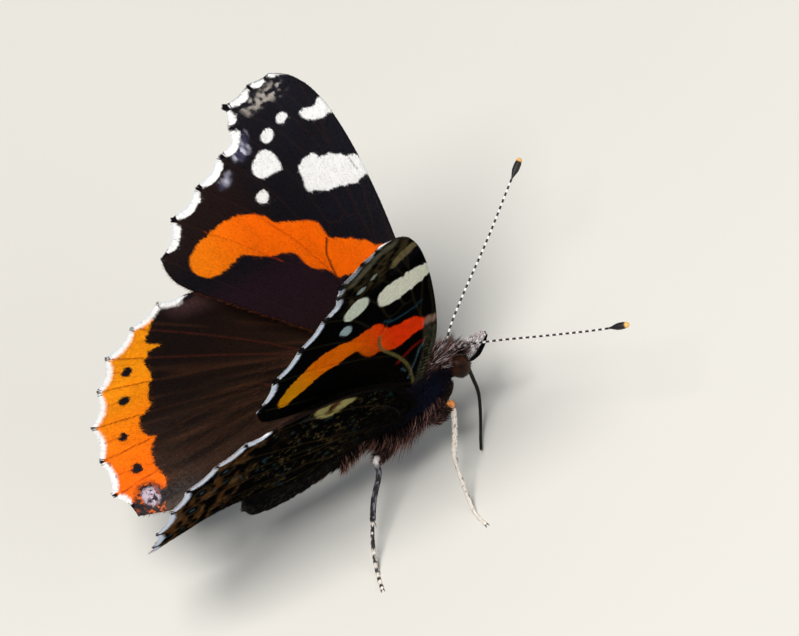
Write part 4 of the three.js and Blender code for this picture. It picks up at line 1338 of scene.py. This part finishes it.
def wing_base_fur(material):
    """Longer hairs where each wing leaves the thorax, which lie up and back along it."""
    random = np.random.default_rng(SEEDS["wing_base"])
    for side_name, side in SIDES.items():
        patches = []
        for middle, height in ((2.0, 0.9), (-0.9, 0.35)):
            x = random.normal(middle, 0.75, WING_BASE_HAIRS)
            tilt = random.normal(height, 0.22, WING_BASE_HAIRS)
            angle = tilt if side > 0 else math.pi - tilt
            point, out, back, turn = skin_frame(x, angle)
            lie = unit(turn * side + back * random.uniform(0.1, 0.9, (WING_BASE_HAIRS, 1)))
            patches.append((point, out, lie, skin_map(x, angle), *body_colours(x, angle)))
        points, outs, lies, places, roots, tips = map(np.vstack, zip(*patches))
        count = len(points)
        tone = random.lognormal(0, 0.25, count)[:, None]
        piece = tuft_piece(
            f"wing_base_fur_{side_name}", points, outs, lies, random.uniform(0.5, 1.1, count),
            random.uniform(0.7, 1.5, count), 0.055, roots * tone, places, material, 0.3,
            np.clip(tips * tone, 0, 1),
        )


def build_body():
    body_skin(tint_material("body_skin", 0.6, 5000, 0.3, 0.6, 4000, specular=0.15))
    fur_look = tint_material("body_fur", 0.62, 9000, 0.15, specular=0.06)

    def top(angle, low=0.2, high=0.9):
        return smoothstep(np.sin(angle), low, high)

    def under(angle):
        return smoothstep(-np.sin(angle), 0.3, 0.8)

    def front(x):
        return smoothstep(x, -11, -5)

    pink = (PINK_WHITE, PINK_BROWN)
    body_fur(
        "thorax_fur", fur_look, -4.6, 4.9, 12000,
        lambda x, angle: 0.75 + 0.3 * under(angle), 0.048, lambda x, angle: 0.4 + 0.55 * under(angle),
        fair=lambda x, angle: 0.22 * top(angle, 0.3, 0.8) * smoothstep(x, 3, 4.2), fair_colours=pink,
    )
    body_fur(
        "collar_fur", fur_look, 4.0, 6.0, 1500,
        lambda x, angle: 0.5 + 0.95 * top(angle, 0.8, 1), 0.045, 1.25, 0, True,
        angles=(0.95, math.pi - 0.95), fair=0.34, fair_colours=pink,
    )
    body_fur(
        "belly_fur", fur_look, -6.5, 3.2, 9000,
        lambda x, angle: 1.1 + 0.95 * np.exp(-((x + 0.6) / 2.4) ** 2), 0.05, 1.05, 0.5,
        angles=(-math.pi + 0.35, -0.35), fair=lambda x, angle: 0.28 + 0.1 * under(angle),
    )
    body_fur(
        "abdomen_fur", fur_look, SKIN_REAR, -3.8, 9000,
        lambda x, angle: 0.42 + 0.35 * under(angle) * front(x), 0.06,
        lambda x, angle: 0.16 + 0.5 * under(angle) * front(x), fair=lambda x, angle: 0.08 * under(angle),
    )
    body_fur(
        "head_fur", fur_look, 4.5, SKIN_FRONT - 0.02, 3600,
        lambda x, angle: 0.45 + 0.4 * top(angle), 0.045, lambda x, angle: 0.45 + 0.6 * top(angle), 0.1, True,
        fair=lambda x, angle: 0.4 * top(angle, 0.1, 0.6), fair_colours=pink,
    )
    wing_base_fur(fur_look)
    return fur_look


# Eyes: many raised facets with fine hairs between them
FACET_RISE = 0.014


EYE_MAP = 0.24
EYE_HAIRS = 420
EYE_RIM_HAIRS = 260


def facet_ball():
    """A unit ball of low pyramids, one on each triangle's middle: its corners, the middles and
    the triangles, which index the corners and then the middles."""
    form = bmesh.new()
    bmesh.ops.create_icosphere(form, subdivisions=5, radius=1)
    form.verts.ensure_lookup_table()
    form.faces.ensure_lookup_table()
    corners = np.array([v.co[:] for v in form.verts])
    middles = unit(np.array([f.calc_center_median()[:] for f in form.faces]))
    faces = []
    for edge in form.edges:
        sides = [f.index + len(corners) for f in edge.link_faces]
        faces += [(vertex.index, *sides) for vertex in edge.verts]
    form.free()
    faces = np.array(faces)
    a, b, c = (np.vstack([corners, middles])[faces[:, k]] for k in range(3))
    inward = np.sum(np.cross(b - a, c - a) * a, axis=1) < 0
    faces[inward] = faces[inward][:, ::-1]
    return corners, middles, faces


def build_eyes(hair_look):
    look = clouded_material(
        "compound_eye", 1600, ((0.35, srgb(20, 11, 7)), (0.7, srgb(58, 32, 16))),
        {"Roughness": 0.42, "Specular IOR Level": 0.09}, on_object=True)
    corners, middles, faces = facet_ball()
    sphere = np.vstack([corners, middles])
    lift = FACET_RISE * (np.arange(len(sphere)) < len(corners))[:, None]
    random = np.random.default_rng(SEEDS["eyes"])
    for side_name, side in SIDES.items():
        centre = HEAD_CENTRE + (0, side * EYE_SPREAD, 0)
        points = centre + sphere * (EYE_RADII - FACET_RISE + lift)
        uv = np.column_stack([
            0.5 + sphere[:, 0] * EYE_MAP,
            0.25 + sphere[:, 2] * EYE_MAP + np.where(sphere[:, 1] * side > 0, 0.5, 0),
        ])
        piece = mesh_piece(f"compound_eye_{side_name}", points, faces, look, uv=uv)
        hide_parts(f"eye_{side_name}")
        shown = middles[middles[:, 1] * side > 0.25]
        chosen = shown[random.permutation(len(shown))[:EYE_HAIRS]]
        out = unit(chosen / EYE_RADII)
        hairs = tuft_piece(
            f"eye_hairs_{side_name}", centre + chosen * (EYE_RADII - FACET_RISE), out,
            unit(np.cross(out, (0.2, 1.0, 0.1))), 1.3, 0.11, 0.014, srgb(70, 52, 40),
            (chosen[:, [0, 2]] + 1) / 2, hair_look, 0.1,
        )
        turn = random.uniform(0, 2 * math.pi, EYE_RIM_HAIRS)
        ring = np.column_stack([np.cos(turn), 0 * turn, np.sin(turn)])
        roots = HEAD_CENTRE + ring * (EYE_RADII * 0.96) + (0, side * 0.62, 0)
        rim = tuft_piece(
            f"eye_rim_{side_name}", roots, np.array([0.0, side, 0]), ring,
            random.uniform(0.5, 0.9, EYE_RIM_HAIRS), random.uniform(0.28, 0.4, EYE_RIM_HAIRS), 0.05,
            mix(srgb(20, 17, 20), srgb(150, 136, 132), random.random(EYE_RIM_HAIRS) ** 4),
            np.column_stack([turn / (2 * math.pi), random.random(EYE_RIM_HAIRS)]), hair_look, 0.3,
        )


# Palps, feelers and proboscis
def mirrored(points, side):
    return np.array(points, float) * (1, side, 1)


PALP_PATH = [(6.5, 0.45, -0.3), (7.3, 0.46, -0.02), (7.8, 0.4, 0.2), (8.4, 0.26, 0.5), (8.95, 0.14, 0.8)]


PALP_HAIRS = 2200


def build_palps(fur_look):
    skin_look = tint_material("palp_skin", 0.6, 6000, 0.25, 0.5, 5000)
    random = np.random.default_rng(SEEDS["palps"])
    for side_name, side in SIDES.items():
        limb = Limb(mirrored(PALP_PATH, side), 0.06,
                    lambda s: np.interp(s, [0, 0.8, 1.6, 2.3, 2.7], [0.28, 0.36, 0.28, 0.15, 0.05]))
        # Painted light: the palp's skin is lighter where it faces up
        skin = limb.piece(
            f"palp_skin_{side_name}", skin_look,
            lambda place, angle, out: mix(srgb(8, 7, 9), srgb(40, 28, 28), smoothstep(out[:, 2], 0, 0.5)),
        )
        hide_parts(f"palp_{side_name}")
        place, angle = limb.scatter(random, PALP_HAIRS, 0, limb.length * 0.97)
        _, out, _ = limb.surface(place, angle)
        # Partly painted light: the hairs are pale only along the top, where light falls from above, and dark
        # on the sides and below
        upper = smoothstep(out[:, 2] - 0.35 * out[:, 0], 0.62, 0.86)
        chance = random.random(PALP_HAIRS)[:, None]
        fair = np.where(chance < 0.75, PINK_BROWN, srgb(20, 15, 19))
        fair = np.where(chance < 0.55, srgb(250, 248, 255), fair)
        tint = mix(srgb(6, 6, 8), fair, upper) * random.lognormal(0, 0.15, PALP_HAIRS)[:, None]
        taper = 1 - 0.55 * smoothstep(place, 1.6, limb.length)
        length = (0.34 + 0.2 * upper) * random.uniform(0.8, 1.2, PALP_HAIRS) * taper
        coat = limb.tufts(f"palp_coat_{side_name}", fur_look, place, angle, 0.25 + 0.4 * upper, length, 0.055,
                          tint * 0.6, tip_colours=np.clip(tint * 1.1, 0, 1))


ANTENNA_PATH = [(5.95, 0.5, 1.1), (6.05, 0.6, 1.7), (6.3, 0.76, 2.15), (7.0, 1.3, 2.5), (8.9, 2.7, 2.95),
                (13.2, 5.95, 3.5), (17.0, 8.9, 4.2), (18.9, 10.25, 4.65)]
ANTENNA_RING = 0.3
ANTENNA_SHAFT = 0.09
CLUB_LENGTH = 2.2
CLUB_SHAFT = 0.3


def build_antennae():
    look = tint_material("antenna_scales", 0.5, 9000, 0.2, 0.5, 9000, specular=0.4)
    for side_name, side in SIDES.items():
        def radius(s):
            from_tip = limb.length - s
            swell = smoothstep(CLUB_LENGTH - from_tip, 0, CLUB_LENGTH * 0.6)
            joint = s / ANTENNA_RING % 1
            from_joint = np.minimum(joint, 1 - joint)
            shaft = ANTENNA_SHAFT * (1 - 0.22 * np.exp(-(from_joint / 0.1) ** 2))
            base = 0.12 * smoothstep(-s, -0.45, -0.2)
            tip = 1 - 0.25 * smoothstep(-from_tip, -0.7, 0)
            groove = 1 - 0.06 * np.exp(-(from_joint / 0.12) ** 2)
            return np.maximum(shaft + base, CLUB_SHAFT * swell * tip * groove)

        def colour(place, angle, out):
            joint = place / (2 * ANTENNA_RING) % 1
            from_tip = limb.length - place
            pale = smoothstep(joint, 0.4, 0.5) * (1 - smoothstep(joint, 0.85, 0.95))
            pale *= smoothstep(from_tip, CLUB_LENGTH * 0.8, CLUB_LENGTH) * smoothstep(place, 0.6, 1)
            if side < 0:
                pale *= 0.3 + 0.7 * smoothstep(place, 3.2, 3.7)
            tint = mix(srgb(20, 17, 20), srgb(232, 228, 224), pale)
            return mix(tint, srgb(236, 176, 96), 1 - smoothstep(from_tip, 0.22, 0.42))

        limb = Limb(mirrored(ANTENNA_PATH, side), 0.05, radius)
        piece = limb.piece(f"antenna_shaft_{side_name}", look, colour, 12, 0.03)
        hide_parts(f"antenna_{side_name}")


PROBOSCIS_PATH = [(6.3, 0, -0.9), (6.3, 0, -1.45), (6.15, -0.05, -3.2), (5.93, -0.2, -4.8), (5.4, -0.5, -6.2),
                  (4.7, -1.05, -7.4), (4.05, -1.9, -7.95), (3.6, -2.8, -8.05)]


PROBOSCIS_RING = 0.12


def build_proboscis():
    def radius(s):
        return 0.17 - 0.006 * s + 0.008 * np.sin(2 * math.pi * s / PROBOSCIS_RING)

    def colour(place, angle, out):
        bands = 0.5 + 0.5 * np.sin(2 * math.pi * place / PROBOSCIS_RING)
        seam = np.exp(-((np.abs(np.sin(angle)) - 1) / 0.1) ** 2)
        return mix(mix(srgb(16, 14, 10), srgb(38, 34, 22), 0.5 * bands), srgb(8, 7, 6), 0.7 * seam)

    look = tint_material("proboscis", 0.5, 7000, 0.2, 0.3, 9000, specular=0.15)
    piece = Limb(PROBOSCIS_PATH, 0.04, radius).piece("proboscis_tube", look, colour, 14, 0.03)
    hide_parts("proboscis")


# Legs
SOLE = 0.12 - BODY_HEIGHT
KNEE = 4
ANKLE = 7
MID_LEG = [(1.3, 1.5, -1.5), (1.55, 2.17, -1.95), (2.3, 2.55, -1.85), (3.1, 2.7, -1.25), (3.6, 2.85, -0.85),
           (3.25, 3.2, -2.0), (2.25, 4.1, -3.55), (1.5, 4.75, -4.5), (0.95, 5.95, -6.4), (0.6, 7.0, -7.8),
           (0.5, 7.8, SOLE), (0.75, 9.3, SOLE)]
HIND_LEG = [(-2.0, 1.4, -1.7), (-2.2, 1.9, -2.12), (-2.9, 2.3, -2.25), (-3.5, 2.65, -2.05),
            (-3.95, 2.95, -1.7), (-4.3, 3.3, -2.85), (-5.8, 4.2, -4.3), (-6.8, 5.1, -5.4),
            (-7.65, 5.95, -6.45), (-8.4, 6.95, -7.7), (-8.8, 7.8, SOLE), (-9.1, 9.2, SOLE)]
FORE_LEG = [(2.3, 0.5, -2.2), (2.45, 0.6, -2.85), (3.1, 0.8, -2.5), (3.75, 0.85, -2.0), (4.2, 0.8, -1.55),
            (4.4, 0.7, -1.25)]
TARSUS_JOINTS = (0, 0.42, 0.6, 0.74, 0.87, 1.001)


LEG_SCALES = 2200
FEMUR_HAIRS = 900
SHIN_SPINES = 6
FOOT_SPINES = 22


# Each walking leg's path, the colours of its shin and of its knee, and how mottled it is
LEGS = {
    "mid": (MID_LEG, srgb(232, 224, 214), srgb(238, 150, 64), -0.4),
    "hind": (HIND_LEG, srgb(120, 122, 134), srgb(240, 230, 228), 1.25),
}


def walking_leg(kind, side_name, look, coat_look, fur_look):
    """One leg with femur, tibia and five foot joints, its spurs, spines, scales and femur fur."""
    path, shin, knee_tint, mottle = LEGS[kind]
    random = np.random.default_rng(SEEDS["legs"])
    points = mirrored(path, SIDES[side_name])
    limb = Limb(points, 0.05, None, floor=-BODY_HEIGHT)
    knee = limb.stop(points[KNEE])
    ankle = limb.stop(points[ANKLE])
    foot = limb.length - ankle

    def radius(s):
        upper = np.interp(s, [0, 0.5, knee * 0.45, knee - 0.5, knee - 0.12, knee, knee + 0.18,
                              (knee + ankle) / 2, ankle - 0.15, ankle],
                          [0.34, 0.36, 0.34, 0.26, 0.24, 0.16, 0.19, 0.19, 0.2, 0.13])
        share = np.clip((s - ankle) / foot, 0, 1)
        part = np.searchsorted(TARSUS_JOINTS, share, side="right") - 1
        start, end = (np.take(TARSUS_JOINTS, part + k) for k in (0, 1))
        t = (share - start) / (end - start)
        lower = 0.115 + 0.045 * smoothstep(t, 0, 0.85) - 0.06 * smoothstep(t, 0.9, 1)
        return np.where(s < ankle, upper, lower)

    def tint_at(place, angle, out=None):
        femur = mix(srgb(18, 14, 13), srgb(50, 36, 30), noise(place / 0.4, angle, 3))
        speckle = smoothstep(noise(place / 0.22, angle * 1.5, 5), 0.62 - 0.3 * mottle, 0.74 - 0.3 * mottle)
        tibia = mix(shin, srgb(30, 26, 30), speckle)
        share = np.clip((place - ankle) / foot, 0, 1)
        from_joint = np.min(np.abs(share[:, None] - np.array(TARSUS_JOINTS)), axis=1) * foot
        tarsus = mix(srgb(224, 216, 208), srgb(34, 29, 30), speckle)
        tarsus = mix(tarsus, srgb(232, 224, 216), 1 - smoothstep(from_joint, 0.08, 0.3))
        tint = mix(femur, tibia, smoothstep(place, knee - 0.3, knee))
        tint = mix(tint, tarsus, smoothstep(place, ankle - 0.1, ankle + 0.1))
        return mix(tint, knee_tint, np.exp(-((place - knee) / 0.32) ** 2))

    limb.radius = radius
    node = f"{kind}_leg_{side_name}"
    piece = limb.piece(f"{node}_skin", look, tint_at, 12)
    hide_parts(node)

    place, angle = limb.scatter(random, LEG_SCALES, 0.2, limb.length - 0.3)
    tone = random.lognormal(0, 0.2, LEG_SCALES)[:, None]
    tint = np.clip(tint_at(place, angle) * tone, 0, 1)
    short = smoothstep(place, ankle - 0.5, ankle)
    coat = limb.tufts(f"{node}_scales", coat_look, place, angle, 0.2, 0.24 - 0.1 * short,
                      0.075 - 0.03 * short, tint)

    place, angle = limb.scatter(random, FEMUR_HAIRS, 0, knee - 0.35)
    tint = mix(srgb(22, 16, 15), RUSTY, random.random(FEMUR_HAIRS) ** 5)
    fur = limb.tufts(f"{node}_fur", fur_look, place, angle, 0.7,
                     random.uniform(0.35, 0.75, FEMUR_HAIRS), 0.045, tint * 0.4, 0.4, tint)

    place = np.repeat(np.concatenate([
        [ankle - 0.08], np.linspace(knee + 0.5, ankle - 0.5, SHIN_SPINES),
        ankle + foot * np.linspace(0.04, 0.97, FOOT_SPINES),
    ]), 2)
    _, out, _ = limb.surface(place, 0 * place)
    _, other, _ = limb.surface(place, 0 * place + math.pi / 2)
    down = np.arctan2(-other[:, 2], -out[:, 2])
    spur = (place > ankle - 0.1) & (place < ankle)
    spines = limb.tufts(
        f"{node}_spines", look, place, down + np.tile([-0.5, 0.5], len(place) // 2),
        np.where(spur, 0.35, 0.7), np.where(spur, 0.75, np.where(place < ankle, 0.24, 0.17)),
        np.where(spur, 0.11, 0.045), srgb(120, 84, 56), 0.3, srgb(120, 84, 56) * 0.4,
    )


CLAW_MESH = (6, 9)


def claws(kind, side_name, look):
    """A pair of curved claws on a walking foot."""
    around, rows = CLAW_MESH
    *_, heel, end = mirrored(LEGS[kind][0], SIDES[side_name])
    forward = unit(end - heel)
    across = np.cross(forward, (0, 0, 1.0))
    parts = []
    for i, turn in enumerate((-1, 1)):
        start = end - forward * 0.15 + across * 0.05 * turn
        bend = end + forward * 0.12 + across * 0.14 * turn + (0, 0, 0.05)
        tip = end + forward * 0.2 + across * 0.13 * turn - (0, 0, 0.09)
        limb = Limb([start, bend, tip], 0.03,
                    lambda s: np.interp(s, [0, 0.2, 0.45], [0.055, 0.045, 0.012]), floor=-BODY_HEIGHT)
        place = np.repeat(np.linspace(0, limb.length, rows), around)
        skin, _, _ = limb.surface(place, round_angles(around, rows))
        skin, faces, corner_map = tube_mesh(skin.reshape(rows, around, 3))
        parts.append((skin, faces + len(skin) * i, corner_map * (0.5, 1) + (0.5 * i, 0)))
    skin, faces, corner_map = map(np.vstack, zip(*parts))
    piece = mesh_piece(f"{kind}_claws_{side_name}", skin, faces, look, srgb(48, 28, 16),
                       corner_uv=corner_map)


BRUSH_HAIRS = 1300


def brush_leg(side_name, look, fur_look):
    """The small fore leg, folded against the chest and hairy."""
    random = np.random.default_rng(SEEDS["brush_legs"])
    limb = Limb(mirrored(FORE_LEG, SIDES[side_name]), 0.05,
                lambda s: np.interp(s, [0, 1.2, 2.4, 3.6, 4.6], [0.22, 0.26, 0.2, 0.17, 0.1]))
    piece = limb.piece(f"fore_leg_{side_name}_skin", look,
                       lambda place, angle, out: srgb(30, 23, 22), 10, 0.08)
    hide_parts(f"fore_leg_{side_name}")
    place, angle = limb.scatter(random, BRUSH_HAIRS, 0.1, limb.length)
    tint = mix(srgb(16, 13, 13), srgb(92, 68, 46), random.random(BRUSH_HAIRS) ** 3)
    coat = limb.tufts(f"fore_leg_{side_name}_fur", fur_look, place, angle, 0.45,
                      random.uniform(0.25, 0.42, BRUSH_HAIRS), 0.045, tint * 0.6, tip_colours=tint)


def build_legs(fur_look):
    look = tint_material("leg_skin", 0.5, 8000, 0.2, 0.4, 6000)
    coat_look = tint_material("leg_scales", 0.55, 9000, 0.12, specular=0.3)
    for side_name in SIDES:
        for kind in LEGS:
            walking_leg(kind, side_name, look, coat_look, fur_look)
        for kind in LEGS:
            claws(kind, side_name, look)
        brush_leg(side_name, look, fur_look)


# Camera, light and floor
def add_camera():
    across = np.array([1.0, 0, 0])
    level_up = np.array([0, math.sin(CAMERA_ELEVATION), math.cos(CAMERA_ELEVATION)])
    towards = np.array([0, -math.cos(CAMERA_ELEVATION), math.sin(CAMERA_ELEVATION)])
    right = math.cos(CAMERA_ROLL) * across - math.sin(CAMERA_ROLL) * level_up
    up = math.sin(CAMERA_ROLL) * across + math.cos(CAMERA_ROLL) * level_up
    aim = BODY + AIM_RIGHT * right + AIM_UP * up
    place = (aim + towards * CAMERA_DISTANCE) * MM
    data = bpy.data.cameras.new("camera")
    data.sensor_width = CAMERA_SENSOR
    data.lens = CAMERA_LENS
    data.clip_start = 0.05
    data.clip_end = 10
    camera = bpy.data.objects.new("camera", data)
    turn = Matrix((right, up, towards)).transposed().to_4x4()
    camera.matrix_world = Matrix.Translation(Vector(place)) @ turn
    bpy.context.scene.collection.objects.link(camera)
    bpy.context.scene.camera = camera


def add_light(name, place, size, power, colour):
    """A square soft light that faces the body; its place in millimetres from the thorax."""
    data = bpy.data.lights.new(name, "AREA")
    data.size = size * MM
    data.energy = power
    data.color = colour
    light = bpy.data.objects.new(name, data)
    light.location = Vector((np.array(place) + BODY) * MM)
    light.rotation_euler = Vector(-np.array(place, float)).to_track_quat("-Z", "Y").to_euler()
    bpy.context.scene.collection.objects.link(light)


FLOOR_HALF = 3000.0


def add_stage():
    mesh = bpy.data.meshes.new("floor")
    corners = [(-FLOOR_HALF, -FLOOR_HALF), (FLOOR_HALF, -FLOOR_HALF), (FLOOR_HALF, FLOOR_HALF),
               (-FLOOR_HALF, FLOOR_HALF)]
    mesh.from_pydata([(x * MM, y * MM, 0) for x, y in corners], [], [(0, 1, 2, 3)])
    floor = bpy.data.objects.new("floor", mesh)
    mesh.materials.append(clouded_material(
        "pale_floor", 60, ((0, (0.60, 0.59, 0.56)), (1, (0.66, 0.65, 0.62))),
        {"Roughness": 0.9}))
    bpy.context.scene.collection.objects.link(floor)
    world = bpy.data.worlds.new("studio")
    world.use_nodes = True
    background = world.node_tree.nodes["Background"]
    background.inputs["Color"].default_value = (0.9, 0.95, 1.0, 1)
    background.inputs["Strength"].default_value = 0.22
    bpy.context.scene.world = world
    bpy.context.scene.view_settings.view_transform = "Standard"
    add_light("key", (-100, -270, 900), 380, 11.0, (1.0, 0.97, 0.92))
    add_light("fill", (500, -700, 500), 600, 2.0, (0.92, 0.96, 1.0))


add_camera()
add_stage()
build_wings()
fur = build_body()
build_eyes(fur)
build_palps(fur)
build_antennae()
build_proboscis()
build_legs(fur)
